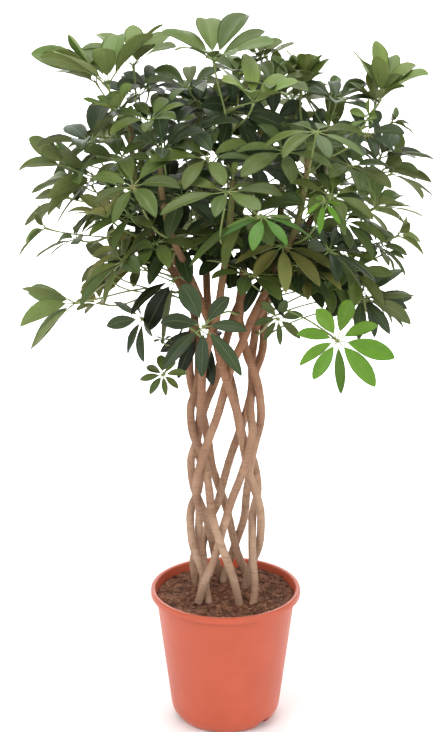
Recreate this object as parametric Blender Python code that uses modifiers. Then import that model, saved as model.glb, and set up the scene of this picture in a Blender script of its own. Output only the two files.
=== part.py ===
"""Potted umbrella plant (Schefflera) with an open woven trunk, in a plastic nursery pot.

Metres, +Z up. The front is -Y and the origin is the centre of the pot's underside.
Angles round the plant are in degrees: 0 is +X (right), 90 is the front, 180 is left.
"""

import math

import bmesh
import bpy
from mathutils import Matrix, Vector
from mathutils.bvhtree import BVHTree

# The pot: a thin moulded wall, a rolled lip and a foot with three drainage channels.
POT_HEIGHT = 0.250
RIM_RADIUS = 0.135
LIP_HEIGHT = 0.0115
WALL = 0.0020
WALL_TOP_RADIUS = 0.1250
WALL_FOOT_RADIUS = 0.0990
FOOT_RADIUS = 0.0810
CORNER_HEIGHT = 0.026
CHANNEL_ANGLES = (-71.0, 49.0, 169.0)
CHANNEL_WIDTH = 0.028
CHANNEL_HEIGHT = 0.014
DRAIN_RADIUS = 0.005
DRAIN_RING = 0.066
POT_STEPS = 32

# The soil fills the pot to a little below its rim.
SOIL_TOP = 0.2365
GAP = 0.0003

# The trunk: five stems climb clockwise and five climb the other way, woven over and under.
LEFT_STARTS = (37.0, 140.0, 215.0, 265.0, 315.0)
RIGHT_STARTS = (60.0, 130.0, 205.0, 265.0, 320.0)
TWIST = 306.0
LATTICE_RADIUS = 0.0555
LATTICE_FLARE = 0.008
WEAVE = 0.0078
STEM_RADIUS = 0.0072
STEM_DEPTH = 0.070
LATTICE_HEIGHT = 0.525

# Where each stem goes above the lattice, up to the tip of its shoot.
LEFT_SHOOTS = (
    ((-0.036, 0.090, 0.85), (-0.046, 0.132, 0.94), (-0.050, 0.150, 1.03), (-0.050, 0.155, 1.10)),
    ((0.080, 0.024, 0.84), (0.091, 0.006, 0.92), (0.094, -0.008, 0.99), (0.095, -0.012, 1.045)),
    ((0.080, -0.075, 0.85), (0.112, -0.108, 0.93), (0.126, -0.122, 1.00), (0.130, -0.126, 1.05)),
    ((-0.005, -0.095, 0.85), (0.003, -0.132, 0.92), (0.008, -0.148, 0.98), (0.010, -0.152, 1.02)),
    ((-0.088, -0.036, 0.84), (-0.126, -0.036, 0.91), (-0.150, -0.031, 1.00), (-0.158, -0.030, 1.09)),
)
RIGHT_SHOOTS = (
    ((-0.086, 0.050, 0.84), (-0.122, 0.068, 0.91), (-0.142, 0.076, 0.98), (-0.148, 0.078, 1.05)),
    ((0.036, 0.086, 0.85), (0.055, 0.130, 0.93), (0.060, 0.152, 1.01), (0.060, 0.158, 1.08)),
    ((0.108, 0.000, 0.85), (0.146, 0.004, 0.93), (0.164, 0.002, 1.01), (0.168, 0.000, 1.08)),
    ((0.030, -0.048, 0.85), (0.022, -0.030, 0.95), (0.002, -0.012, 1.05), (-0.010, -0.008, 1.13)),
    ((-0.062, -0.078, 0.85), (-0.088, -0.108, 0.92), (-0.102, -0.120, 0.98), (-0.106, -0.122, 1.04)),
)

# Leaves, each with a hub position, the way its stalk points (turn, rise), how far its leaflets
# open from that line, leaflet length, leaflet count, first leaflet's turn, and tone.
LEAVES = (
    (-0.192, -0.030, 1.155, 172, 82, 44, 0.160, 7, 12, "mid"),
    (-0.155, 0.050, 1.175, 90, 85, 48, 0.112, 7, 0, "mid"),
    (-0.222, -0.050, 1.060, 170, 68, 60, 0.122, 7, 0, "dark"),
    (-0.218, 0.000, 0.995, 178, 8, 44, 0.118, 7, 20, "mid"),
    (-0.192, -0.100, 0.948, 150, 66, 45, 0.090, 8, 5, "olive"),
    (-0.252, -0.020, 0.895, 170, 60, 74, 0.085, 7, 15, "mid"),
    (-0.258, 0.000, 0.778, 176, 0, 38, 0.126, 5, 0, "mid"),
    (-0.222, 0.080, 0.757, 150, 60, 58, 0.068, 8, 0, "olive"),
    (-0.142, -0.050, 0.764, 140, -5, 66, 0.080, 6, 40, "dark"),
    (-0.106, -0.080, 0.674, 95, 42, 84, 0.042, 8, 10, "mid"),
    (-0.037, -0.160, 0.780, 92, 12, 82, 0.089, 7, 22, "dark"),
    (0.086, -0.100, 0.777, 90, 10, 76, 0.047, 7, 35, "mid"),
    (0.178, -0.200, 0.768, 88, 8, 86, 0.080, 9, 26, "lime"),
    (0.231, -0.020, 0.796, 70, 35, 80, 0.092, 7, 0, "dark"),
    (0.260, 0.020, 0.874, 30, 50, 74, 0.064, 7, 30, "mid"),
    (0.246, -0.060, 0.956, 10, 60, 52, 0.108, 7, 0, "mid"),
    (0.262, 0.040, 1.022, 10, 60, 50, 0.106, 7, 20, "dark"),
    (0.227, -0.080, 1.080, 60, 50, 70, 0.072, 7, 10, "dark"),
    (0.256, 0.000, 1.127, 20, 82, 37, 0.126, 8, 0, "light"),
    (0.140, -0.180, 1.100, 80, 78, 92, 0.100, 7, 25, "mid"),
    (0.124, 0.000, 1.138, 60, 84, 36, 0.092, 7, 0, "mid"),
    (0.044, -0.100, 1.134, 40, 78, 48, 0.116, 7, 15, "light"),
    (0.000, 0.060, 1.112, 150, 60, 62, 0.082, 8, 0, "olive"),
    (-0.020, -0.020, 1.190, 90, 78, 54, 0.128, 9, 10, "light"),
    (-0.102, -0.100, 1.058, 70, 70, 52, 0.092, 7, 0, "dark"),
    (-0.148, -0.160, 1.010, 110, 55, 75, 0.090, 7, 25, "mid"),
    (0.000, -0.200, 1.009, 90, 75, 84, 0.110, 7, 10, "mid"),
    (0.055, -0.260, 0.982, 90, 76, 98, 0.079, 7, 11, "mid"),
    (0.166, -0.160, 0.995, 60, 65, 76, 0.090, 7, 15, "mid"),
    (0.123, -0.080, 0.857, 90, 60, 80, 0.088, 7, 10, "dark"),
    (-0.200, 0.140, 1.040, 200, 45, 65, 0.110, 7, 10, "mid"),
    (-0.112, 0.225, 1.045, 240, 60, 65, 0.112, 7, 30, "mid"),
    (0.085, 0.200, 1.095, 280, 65, 62, 0.112, 9, 0, "light"),
    (0.190, 0.140, 1.045, 320, 50, 65, 0.114, 7, 20, "mid"),
    (0.290, 0.120, 0.980, 345, 35, 60, 0.108, 7, 0, "mid"),
    (0.250, 0.220, 0.900, 320, 30, 60, 0.100, 7, 15, "mid"),
    (0.120, 0.290, 0.990, 290, 40, 65, 0.108, 7, 0, "mid"),
    (-0.020, 0.300, 1.040, 265, 45, 65, 0.110, 7, 25, "mid"),
    (-0.170, 0.270, 0.980, 235, 40, 65, 0.108, 7, 0, "dark"),
    (-0.280, 0.160, 0.930, 205, 35, 60, 0.100, 7, 20, "mid"),
    (-0.200, 0.200, 0.800, 215, 20, 65, 0.098, 7, 0, "dark"),
    (-0.050, 0.270, 0.840, 260, 20, 66, 0.098, 7, 10, "mid"),
    (0.090, 0.250, 0.800, 290, 15, 66, 0.096, 7, 0, "dark"),
    (0.200, 0.160, 0.770, 325, 15, 66, 0.088, 7, 20, "olive"),
    (0.020, 0.120, 1.125, 270, 80, 60, 0.098, 9, 0, "light"),
    (-0.110, 0.100, 1.080, 220, 70, 62, 0.104, 7, 20, "mid"),
    (0.110, 0.090, 1.110, 310, 72, 62, 0.100, 7, 0, "mid"),
    (-0.060, 0.160, 0.960, 250, 60, 75, 0.096, 7, 15, "dark"),
)
LEAFLET_THICKNESS = 0.0012
LEAFLET_SLIMNESS = 0.32
NECK_WIDTH = 0.0026
JOINS = ((0.0056, 0.0), (0.0056, 0.0008), (0.0050, 0.0), (0.0062, 0.0004))
LEAFLET_DROOP = 0.16
PETIOLE_RADIUS = 0.0019
HUB_RADIUS = 0.0032
CLEARANCE = 0.0005

COLOURS = {
    "pot_plastic": ((0.66, 0.155, 0.09), 0.42),
    "soil": ((0.12, 0.055, 0.03), 0.95),
    "bark": ((0.46, 0.28, 0.16), 0.80),
    "leaf_dark": ((0.020, 0.050, 0.022), 0.38),
    "leaf_mid": ((0.070, 0.130, 0.045), 0.42),
    "leaf_light": ((0.160, 0.250, 0.070), 0.45),
    "leaf_olive": ((0.190, 0.210, 0.070), 0.50),
    "leaf_lime": ((0.150, 0.360, 0.030), 0.42),
}


def clear_scene():
    for obj in list(bpy.data.objects):
        bpy.data.objects.remove(obj)


def collection(name):
    made = bpy.data.collections.new(name)
    bpy.context.scene.collection.children.link(made)
    return made


def material(name):
    colour, roughness = COLOURS[name]
    made = bpy.data.materials.new(name)
    made.use_nodes = True
    shader = made.node_tree.nodes["Principled BSDF"]
    shader.inputs["Base Color"].default_value = (*colour, 1.0)
    shader.inputs["Roughness"].default_value = roughness
    shader.inputs["Metallic"].default_value = 0.0
    made.diffuse_color = (*colour, 1.0)
    return made


def add_object(name, mesh, where):
    obj = bpy.data.objects.new(name, mesh)
    where.objects.link(obj)
    return obj


def baked(obj):
    """The object's mesh with its modifiers applied, in world space."""
    graph = bpy.context.evaluated_depsgraph_get()
    mesh = bpy.data.meshes.new_from_object(obj.evaluated_get(graph))
    mesh.transform(obj.matrix_world)
    return mesh


def weld(mesh, distance=0.00001):
    bm = bmesh.new()
    bm.from_mesh(mesh)
    bmesh.ops.remove_doubles(bm, verts=bm.verts, dist=distance)
    bmesh.ops.recalc_face_normals(bm, faces=bm.faces)
    bm.to_mesh(mesh)
    bm.free()


def boolean(obj, other, operation, use_self=False):
    modifier = obj.modifiers.new(operation.title(), "BOOLEAN")
    modifier.solver = "EXACT"
    modifier.operation = operation
    modifier.use_self = use_self
    modifier.object = other
    return modifier


def turned(name, profile, where):
    """A solid of revolution: the profile runs down its outer side, from axis to axis."""
    mesh = bpy.data.meshes.new(name)
    points = [(radius, 0.0, height) for radius, height in profile]
    edges = [(index, index + 1) for index in range(len(points) - 1)]
    mesh.from_pydata(points, edges, [])
    obj = add_object(name, mesh, where)
    screw = obj.modifiers.new("Screw", "SCREW")
    screw.steps = POT_STEPS
    screw.render_steps = POT_STEPS
    screw.use_merge_vertices = True
    screw.merge_threshold = 0.00005
    screw.use_normal_calculate = True
    return obj


def box(name, size, centre, angle, where):
    """A box with its length along the ray at this angle round the plant."""
    bpy.ops.mesh.primitive_cube_add(size=1.0)
    obj = bpy.context.object
    obj.name = name
    obj.data.transform(
        turn_matrix(angle) @ move_matrix(centre) @ scale_matrix(size)
    )
    move_to(obj, where)
    return obj


def turn_matrix(angle):
    return Matrix.Rotation(math.radians(angle), 4, "Z")


def move_matrix(centre):
    return Matrix.Translation(centre)


def scale_matrix(size):
    return Matrix.Diagonal((*size, 1.0))


def move_to(obj, where):
    for old in list(obj.users_collection):
        old.objects.unlink(obj)
    where.objects.link(obj)


# The pot and the soil ------------------------------------------------------------------------


def outer_profile():
    """The outside of the pot, with the lip turned down over a narrow hollow."""
    under_lip = POT_HEIGHT - LIP_HEIGHT
    return (
        (0.0, POT_HEIGHT),
        (RIM_RADIUS - 0.0040, POT_HEIGHT),
        (RIM_RADIUS - 0.0012, POT_HEIGHT - 0.0012),
        (RIM_RADIUS, POT_HEIGHT - 0.0040),
        (RIM_RADIUS, under_lip),
        (RIM_RADIUS - 0.0018, under_lip),
        (RIM_RADIUS - 0.0020, POT_HEIGHT - 0.0040),
        (WALL_TOP_RADIUS + 0.0022, POT_HEIGHT - 0.0040),
        (WALL_TOP_RADIUS, POT_HEIGHT - 0.0160),
        (WALL_FOOT_RADIUS, CORNER_HEIGHT),
        (WALL_FOOT_RADIUS - 0.0020, 0.0180),
        (WALL_FOOT_RADIUS - 0.0065, 0.0100),
        (WALL_FOOT_RADIUS - 0.0120, 0.0040),
        (FOOT_RADIUS, 0.0),
        (0.0, 0.0),
    )


def inner_profile(shrink, top, crown):
    """The inside of the pot, shrunk by a gap, from the axis at the top to the axis below."""
    lean = (WALL_TOP_RADIUS - WALL_FOOT_RADIUS) / (POT_HEIGHT - 0.016 - CORNER_HEIGHT)
    shoulder = POT_HEIGHT - 0.016
    inside = WALL_TOP_RADIUS - WALL - shrink
    edge = inside + max(0.0, top - shoulder) * 0.24
    if top > POT_HEIGHT:
        edge = inside + 0.0038
    low = WALL_FOOT_RADIUS - WALL - shrink
    return (
        (0.0, crown),
        (edge, top),
        (inside, shoulder),
        (low + lean * 0.002, CORNER_HEIGHT + 0.002),
        (low - 0.0022, 0.0190),
        (low - 0.0068, 0.0116),
        (low - 0.0125, 0.0062 + shrink),
        (FOOT_RADIUS - WALL, 0.0025 + shrink),
        (0.0, 0.0025 + shrink),
    )


def channel_boxes(name, grow, where):
    """The three drainage channels that run out under the foot, grown by a wall's thickness."""
    made = []
    for index, angle in enumerate(CHANNEL_ANGLES):
        size = (0.070, CHANNEL_WIDTH + 2.0 * grow, 2.0 * (CHANNEL_HEIGHT + grow))
        centre = (0.090 - grow, 0.0, 0.0)
        made.append(box(f"{name}_{index}", size, centre, angle - 90.0, where))
    return made


def build_pot(parts, cutters):
    outer = turned("pot", outer_profile(), parts)
    for cutter in channel_boxes("channel", 0.0, cutters):
        boolean(outer, cutter, "DIFFERENCE")
    cavity = turned("pot_cavity", inner_profile(0.0, POT_HEIGHT + 0.001, POT_HEIGHT + 0.001), cutters)
    for cutter in channel_boxes("channel_wall", WALL, cutters):
        boolean(cavity, cutter, "DIFFERENCE")
    boolean(outer, cavity, "DIFFERENCE")
    for index, angle in enumerate(CHANNEL_ANGLES):
        bpy.ops.mesh.primitive_cylinder_add(vertices=16, radius=DRAIN_RADIUS, depth=0.040)
        drain = bpy.context.object
        drain.name = f"drain_{index}"
        where = move_matrix((DRAIN_RING, 0.0, 0.0))
        drain.data.transform(turn_matrix(angle - 90.0) @ where)
        move_to(drain, cutters)
        boolean(outer, drain, "DIFFERENCE")
    return outer


def build_soil(stems, parts, cutters):
    soil = turned("soil", inner_profile(GAP, SOIL_TOP - 0.0010, SOIL_TOP + 0.0010), parts)
    for cutter in channel_boxes("soil_channel", WALL + GAP, cutters):
        boolean(soil, cutter, "DIFFERENCE")
    for name, path in stems.items():
        below = [place for place in path if place[2] < SOIL_TOP + 0.06]
        radii = [STEM_RADIUS + GAP + 0.0002] * len(below)
        below[0] = below[0] + (below[0] - below[1]).normalized() * GAP
        socket = add_object(f"socket_{name}", tube_mesh(below, radii, 2), cutters)
        boolean(soil, socket, "DIFFERENCE")
    return soil


# Stems ---------------------------------------------------------------------------------------


def tube_mesh(points, radii, resolution):
    """A bevelled curve through the points, with filled caps, as a welded mesh."""
    curve = bpy.data.curves.new("tube", "CURVE")
    curve.dimensions = "3D"
    curve.bevel_depth = 1.0
    curve.bevel_resolution = resolution
    curve.use_fill_caps = True
    spline = curve.splines.new("POLY")
    spline.points.add(len(points) - 1)
    for point, place, radius in zip(spline.points, points, radii):
        point.co = (*place, 1.0)
        point.radius = radius
    obj = bpy.data.objects.new("tube", curve)
    bpy.context.scene.collection.objects.link(obj)
    bpy.context.view_layer.update()
    mesh = baked(obj)
    bpy.data.objects.remove(obj)
    bpy.data.curves.remove(curve)
    weld(mesh)
    return mesh


def interpolate(knots, at):
    """The value at one place, straight between knots and level past the ends."""
    if at <= knots[0][0]:
        return knots[0][1]
    for (low, first), (high, last) in zip(knots, knots[1:]):
        if at <= high:
            return first + (last - first) * (at - low) / (high - low)
    return knots[-1][1]


def crossings(index, is_left):
    """Where a stem meets those of the other hand: (height above the soil, crossing number)."""
    found = []
    starts = RIGHT_STARTS if is_left else LEFT_STARTS
    for other, start in enumerate(starts):
        left, right = (index, other) if is_left else (other, index)
        for turns in (-1, 0, 1, 2):
            angle = LEFT_STARTS[left] - RIGHT_STARTS[right] + 360.0 * turns
            found.append((angle / (2.0 * TWIST), right - 5 * turns - left))
    return sorted(found)


def lattice_point(index, is_left, height):
    """A stem's centre line at one height above the soil, woven in or out at each crossing."""
    number = interpolate(crossings(index, is_left), height)
    swing = math.cos(math.pi * number)
    swing = swing * (1.5 - 0.5 * swing * swing)
    flare = LATTICE_FLARE * max(0.0, (height - 0.42) / 0.105) ** 2
    radius = LATTICE_RADIUS + flare + (WEAVE if is_left else -WEAVE) * swing
    start = LEFT_STARTS[index] if is_left else RIGHT_STARTS[index]
    angle = math.radians(start + (-TWIST if is_left else TWIST) * height)
    return Vector((radius * math.cos(angle), -radius * math.sin(angle), SOIL_TOP + height))


def smooth_path(points, steps):
    """Points along a smooth curve through the given ones."""
    padded = [2.0 * points[0] - points[1], *points, 2.0 * points[-1] - points[-2]]
    path = []
    for a, b, c, d in zip(padded, padded[1:], padded[2:], padded[3:]):
        for step in range(steps):
            t = step / steps
            path.append(
                0.5 * (2.0 * b + (c - a) * t + (2.0 * a - 5.0 * b + 4.0 * c - d) * t * t
                       + (3.0 * b - a - 3.0 * c + d) * t ** 3)
            )
    path.append(points[-1])
    return path


def stem_path(index, is_left):
    """From inside the soil, up through the lattice, and on to the tip of the shoot."""
    heights = [-STEM_DEPTH, -0.055, -0.038, -0.018]
    heights += [LATTICE_HEIGHT * step / 16.0 for step in range(17)]
    woven = [lattice_point(index, is_left, height) for height in heights]
    shoots = LEFT_SHOOTS if is_left else RIGHT_SHOOTS
    upper = [Vector(place) for place in shoots[index]]
    bridge = smooth_path([woven[-2], woven[-1], *upper], 2)
    return woven[:-1] + bridge[2:]


def stem_radius(height):
    """Stems are thickest in the lattice and slim down to their green tips."""
    knots = ((0.0, 1.0), (0.66, 1.03), (0.80, 0.92), (0.95, 0.76), (1.10, 0.56))
    return STEM_RADIUS * interpolate(knots, height)


def build_stems(parts):
    paths = {}
    for hand, is_left in (("l", True), ("r", False)):
        for index in range(5):
            name = f"stem_{hand}{index + 1}"
            path = stem_path(index, is_left)
            radii = [stem_radius(place[2]) for place in path]
            add_object(name, tube_mesh(path, radii, 2), parts)
            paths[name] = path
    return paths


# Leaves --------------------------------------------------------------------------------------


def direction(turn, rise):
    turn = math.radians(turn)
    rise = math.radians(rise)
    flat = math.cos(rise)
    return Vector((flat * math.cos(turn), -flat * math.sin(turn), math.sin(rise)))


def leaflet_way(axis, opening, turn):
    """The way a leaflet leaves the hub, and its upper face's normal."""
    side = axis.cross(Vector((0.0, 0.0, 1.0))).normalized()
    up = side.cross(axis)
    open_by = math.radians(opening)
    round_by = math.radians(turn)
    out = up * math.cos(round_by) + side * math.sin(round_by)
    along = axis * math.cos(open_by) + out * math.sin(open_by)
    normal = axis * math.sin(open_by) - out * math.cos(open_by)
    return along, normal


def leaflet_points(hub, along, normal, length):
    """The leaflet's neck, broadest place and tip, as (left, right) pairs and one point."""
    across = along.cross(normal)
    pairs = []
    neck = 0.08 + 0.010 / length
    for t, half in ((neck, NECK_WIDTH / 2.0), (0.60, LEAFLET_SLIMNESS * length / 2.0)):
        place = hub + along * length * t - Vector((0.0, 0.0, LEAFLET_DROOP * length * t * t))
        pairs.append((place + across * half, place - across * half))
    tip = hub + along * length - Vector((0.0, 0.0, LEAFLET_DROOP * length))
    return [*pairs[0], *pairs[1], tip]


def plate(points, normal, half_thickness):
    """The leaflet beyond its neck as a closed thick plate, for clearance tests."""
    shift = normal * half_thickness
    solid = [point + shift for point in points] + [point - shift for point in points]
    polygons = [(0, 1, 3, 2), (2, 3, 4), (5, 7, 8, 6), (7, 9, 8)]
    border = (0, 1, 3, 4, 2)
    for first, last in zip(border, border[1:] + border[:1]):
        polygons.append((first, last, last + 5, first + 5))
    return BVHTree.FromPolygons(solid, polygons)


def mesh_tree(mesh):
    points = [vertex.co.copy() for vertex in mesh.vertices]
    return BVHTree.FromPolygons(points, [tuple(face.vertices) for face in mesh.polygons])


def is_clear(tree, others):
    return not any(tree.overlap(other) for other in others)


def petiole_line(base, outward, hub, axis, bow):
    """The leaf stalk: square off the stem, then a smooth bend up into the hub."""
    reach = (hub - base).length
    start = base + outward * 0.007
    lean = (outward + Vector((0.0, 0.0, 0.8))).normalized()
    first = start + lean * 0.30 * reach + bow
    second = hub - axis * 0.26 * reach + bow * 0.6
    line = [base, start]
    for step in range(1, 4):
        t = step / 4.0
        s = 1.0 - t
        line.append(start * s ** 3 + first * 3 * s * s * t + second * 3 * s * t * t + hub * t ** 3)
    line.append(hub - axis * 0.004)
    line.append(hub + axis * 0.0018)
    return line


def petiole_radii(grow):
    thin = PETIOLE_RADIUS + grow
    return [thin * 1.4, thin * 1.2, thin, thin, thin, HUB_RADIUS + grow, HUB_RADIUS + grow]


def stem_nodes(paths):
    """Places up each shoot where a stalk may grow: (stem name, point, way along the stem)."""
    nodes = []
    for name, path in paths.items():
        for first, last in zip(path, path[1:]):
            if first[2] < 0.70:
                continue
            steps = max(1, round((last - first).length / 0.012))
            for step in range(steps):
                nodes.append((name, first.lerp(last, step / steps), (last - first).normalized()))
    return nodes


def node_cost(node, hub):
    """Low for a stalk of natural length that rises gently to its leaf."""
    reach = hub - node[1]
    cost = abs(reach.length - 0.12)
    cost += 0.8 * max(0.0, -reach[2] - 0.03)
    cost += 0.5 * max(0.0, reach[2] - 0.15)
    return cost


def seat(node, hub, trees):
    """The stalk's foot: on the stem's surface on the side nearest the leaf, a hair off it."""
    name, centre, along = node
    outward = hub - centre
    outward = (outward - along * outward.dot(along)).normalized()
    hit, facing = trees[name].ray_cast(centre + outward * 0.03, -outward)[:2]
    return hit + facing * (GAP + 0.0001), facing


def place_petioles(paths, trees):
    """Chooses each leaf's node on a shoot so that the stalks clear the stems and each other."""
    nodes = stem_nodes(paths)
    taken = []
    lines = []
    placed = []
    bows = [Vector((0, 0, 0))]
    for size in (0.012, 0.024):
        for turn in range(0, 360, 60):
            bows.append(direction(turn, 0) * size)
    for row in LEAVES:
        hub = Vector(row[:3])
        axis = direction(row[3], row[4])
        stalk_axis = (axis + (hub - Vector((0.0, 0.0, 0.85))).normalized() * 0.4).normalized()
        found = None
        for node in sorted(nodes, key=lambda item: node_cost(item, hub))[:40]:
            if any((node[1] - other).length < 0.011 for other in taken):
                continue
            base, outward = seat(node, hub, trees)
            for bow in bows:
                line = petiole_line(base, outward, hub, stalk_axis, bow)
                fat = mesh_tree(tube_mesh(line[1:], petiole_radii(0.0010)[1:], 0))
                if is_clear(fat, list(trees.values()) + placed):
                    found = (node, line, fat)
                    break
            if found:
                break
        if not found:
            raise RuntimeError(f"no room for the stalk of the leaf at {row[:3]}")
        taken.append(found[0][1])
        lines.append(found[1])
        placed.append(found[2])
    return lines, placed


def choices():
    """Small changes to a leaflet, mildest first: (turn, opening, length factor)."""
    found = []
    for turn in (0, -6, 6, -12, 12):
        for opening in (0, 6, -6, 12, -12, 18, -18):
            for size in (1.0, 0.9, 0.8, 0.7):
                cost = abs(turn) + abs(opening) + (1.0 - size) * 90.0
                found.append((cost, turn, opening, size))
    return [choice[1:] for choice in sorted(found)]


def grow_leaflets(row, obstacles):
    """The leaf's leaflets, each moved a little where another part is in its way."""
    hub = Vector(row[:3])
    axis = direction(row[3], row[4])
    opening, length, count, first = row[5:9]
    near = [tree for centre, reach, tree in obstacles if (centre - hub).length < reach + length]
    leaflets = []
    for index in range(count):
        turn = first + 360.0 * index / count
        # The leaflets on the upper side of a leaf are its longest.
        size = length * (0.94 + 0.10 * math.cos(math.radians(turn)) - 0.04 * (index % 2))
        for turn_by, open_by, factor in choices():
            along, normal = leaflet_way(axis, opening + open_by, turn + turn_by)
            points = leaflet_points(hub, along, normal, size * factor)
            tree = plate(points, normal, 0.5 * LEAFLET_THICKNESS + CLEARANCE)
            if is_clear(tree, near + [other[2] for other in leaflets]):
                leaflets.append((index, points, tree))
                break
    return leaflets


def leaf_sheet(name, row, leaflets, fan_radius):
    """One thin star: a small fan at the hub, then a neck, a blade and a tip for each leaflet."""
    hub = Vector(row[:3])
    axis = direction(row[3], row[4])
    count = row[7]
    bm = bmesh.new()
    centre = bm.verts.new(hub)
    ring = {}
    for index, points, tree in leaflets:
        ends = []
        for corner in (index, (index + 1) % count):
            if corner not in ring:
                turn = row[8] + 360.0 * (corner - 0.5) / count
                along = leaflet_way(axis, min(80.0, row[5] + 8.0), turn)[0]
                ring[corner] = bm.verts.new(hub + along * fan_radius)
            ends.append(ring[corner])
        left, right, wide_left, wide_right, tip = [bm.verts.new(point) for point in points]
        if (ends[0].co - left.co).length > (ends[1].co - left.co).length:
            ends.reverse()
        bm.faces.new((centre, ends[0], ends[1]))
        bm.faces.new((ends[0], left, right, ends[1]))
        bm.faces.new((left, wide_left, wide_right, right))
        bm.faces.new((wide_left, tip, wide_right))
    bmesh.ops.recalc_face_normals(bm, faces=bm.faces)
    mesh = bpy.data.meshes.new(name)
    bm.to_mesh(mesh)
    bm.free()
    return mesh


def is_closed(mesh):
    bm = bmesh.new()
    bm.from_mesh(mesh)
    closed = bool(bm.faces) and all(edge.is_manifold for edge in bm.edges)
    bm.free()
    return closed


def build_leaf(name, row, leaflets, line, parts, cutters):
    """One leaf is one piece: stalk, hub and leaflets joined."""
    star = add_object(f"{name}_leaflets", bpy.data.meshes.new(name), cutters)
    solidify = star.modifiers.new("Solidify", "SOLIDIFY")
    solidify.thickness = LEAFLET_THICKNESS
    solidify.offset = 0.0
    leaf = add_object(name, bpy.data.meshes.new(name), parts)
    boolean(leaf, star, "UNION", use_self=True)
    tip_way = (line[-1] - line[-2]).normalized()
    # The fan's size and the stalk's end are the first that join into one closed piece. Where
    # none do, two leaflets are crowded at the hub, and one of them isn't grown.
    for dropped in (None, *range(row[7])):
        kept = [leaflet for leaflet in leaflets if leaflet[0] != dropped]
        for fan_radius, longer in JOINS:
            star.data = leaf_sheet(name, row, kept, fan_radius)
            ends = [*line[:-1], line[-1] + tip_way * longer]
            leaf.data = tube_mesh(ends, petiole_radii(0.0), 0)
            bpy.context.view_layer.update()
            if is_closed(baked(leaf)):
                return leaf
    raise RuntimeError(f"{name} doesn't join into one closed piece")


def main():
    clear_scene()
    parts = collection("potted_umbrella_plant")
    cutters = collection("cutters")
    materials = {name: material(name) for name in COLOURS}
    pot = build_pot(parts, cutters)
    pot.data.materials.append(materials["pot_plastic"])
    paths = build_stems(parts)
    soil = build_soil(paths, parts, cutters)
    soil.data.materials.append(materials["soil"])
    trees = {name: mesh_tree(bpy.data.objects[name].data) for name in paths}
    for name in paths:
        bpy.data.objects[name].data.materials.append(materials["bark"])
    lines, stalks = place_petioles(paths, trees)
    obstacles = [(Vector((0.0, 0.0, 0.8)), 2.0, tree) for tree in trees.values()]
    grown = 0
    for index, row in enumerate(LEAVES):
        hub = Vector(row[:3])
        others = [(line[3], 0.16, tree) for other, (line, tree) in enumerate(zip(lines, stalks))
                  if other != index]
        leaflets = grow_leaflets(row, obstacles + others)
        obstacles += [(hub, row[6], tree) for which, points, tree in leaflets]
        grown += len(leaflets)
        name = f"leaf_{index + 1:02d}"
        leaf = build_leaf(name, row, leaflets, lines[index], parts, cutters)
        leaf.data.materials.append(materials[f"leaf_{row[9]}"])
    print(f"{grown} of {sum(row[7] for row in LEAVES)} leaflets had room")
    finish_parts(parts)
    for obj in cutters.objects:
        obj.hide_render = True
        obj.display_type = "WIRE"
    cutters.hide_render = True


def finish_parts(parts):
    """Applies each part's modifiers and shades it."""
    bpy.context.view_layer.update()
    for obj in parts.objects:
        mesh = baked(obj)
        obj.modifiers.clear()
        if not mesh.materials:
            mesh.materials.append(obj.data.materials[0])
        obj.data = mesh
        for face in mesh.polygons:
            face.material_index = 0
            face.use_smooth = True


main()
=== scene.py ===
# %% [markdown]
# # A potted umbrella plant
# The plant stands in a plastic nursery pot. Ten stems climb out of the soil, woven over and under
# each other into an open lattice, and end in green shoots. Each leaf is a long stalk with a fan
# of glossy leaflets, held like the ribs of an umbrella. Everything is built round a frame of
# plain solids that are already in their true places, so each new surface takes its place from
# one of them.

# %% Load the frame
import math

import bpy
import numpy as np
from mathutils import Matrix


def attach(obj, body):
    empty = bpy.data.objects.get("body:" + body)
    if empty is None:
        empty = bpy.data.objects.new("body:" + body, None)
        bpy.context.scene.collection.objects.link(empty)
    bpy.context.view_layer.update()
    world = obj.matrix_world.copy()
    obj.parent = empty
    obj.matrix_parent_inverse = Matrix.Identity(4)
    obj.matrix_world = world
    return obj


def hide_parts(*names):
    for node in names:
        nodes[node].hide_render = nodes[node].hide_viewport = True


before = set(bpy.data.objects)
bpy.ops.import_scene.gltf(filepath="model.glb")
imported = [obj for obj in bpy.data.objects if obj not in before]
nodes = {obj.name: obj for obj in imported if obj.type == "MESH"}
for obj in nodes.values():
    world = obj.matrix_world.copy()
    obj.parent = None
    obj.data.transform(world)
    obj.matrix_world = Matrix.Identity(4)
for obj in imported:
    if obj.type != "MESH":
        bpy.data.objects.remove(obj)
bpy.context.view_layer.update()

# %% [markdown]
# ## Camera, floor and light
# A product picture of a house plant is taken a little from above, with a long lens, on a white
# sweep of paper. A sweep has no corner where floor meets wall, so no line shows behind the pot.
# Wide soft lights give each glossy leaflet a pale sheen without hard shadows.

# %% Camera
scene = bpy.context.scene
scene.view_settings.view_transform = "Standard"
camera = bpy.data.objects.new("camera", bpy.data.cameras.new("camera"))
scene.collection.objects.link(camera)
camera.data.sensor_width = 36.0
camera.data.lens = 80.9
camera.location = (-0.010, -2.73, 1.49)
camera.rotation_euler = (math.radians(90.0 - 16.8), 0.0, 0.0)
scene.camera = camera


# %% [markdown]
# ## One way to make every surface
# Stems, stalks, leaflets, crumbs and the pot are all the same idea: a closed outline carried
# along a path. So one class makes them all from an array of rings. Faces between rings are
# four-sided, and the two ends are closed. Working with whole arrays keeps it quick, even for
# hundreds of leaflets. The same class sets each piece on the frame's body and hides the solid
# of the frame that the piece replaces.


# %% Skins from rings
def skin_faces(rings, sides):
    """Corner numbers of the four-sided faces between rings of a closed outline."""
    row = np.arange(rings - 1)[:, None] * sides
    side = np.arange(sides)[None, :]
    ahead = (side + 1) % sides
    quads = np.stack([row + side, row + ahead, row + sides + ahead, row + sides + side], -1)
    return quads.reshape(-1, 4)


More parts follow.
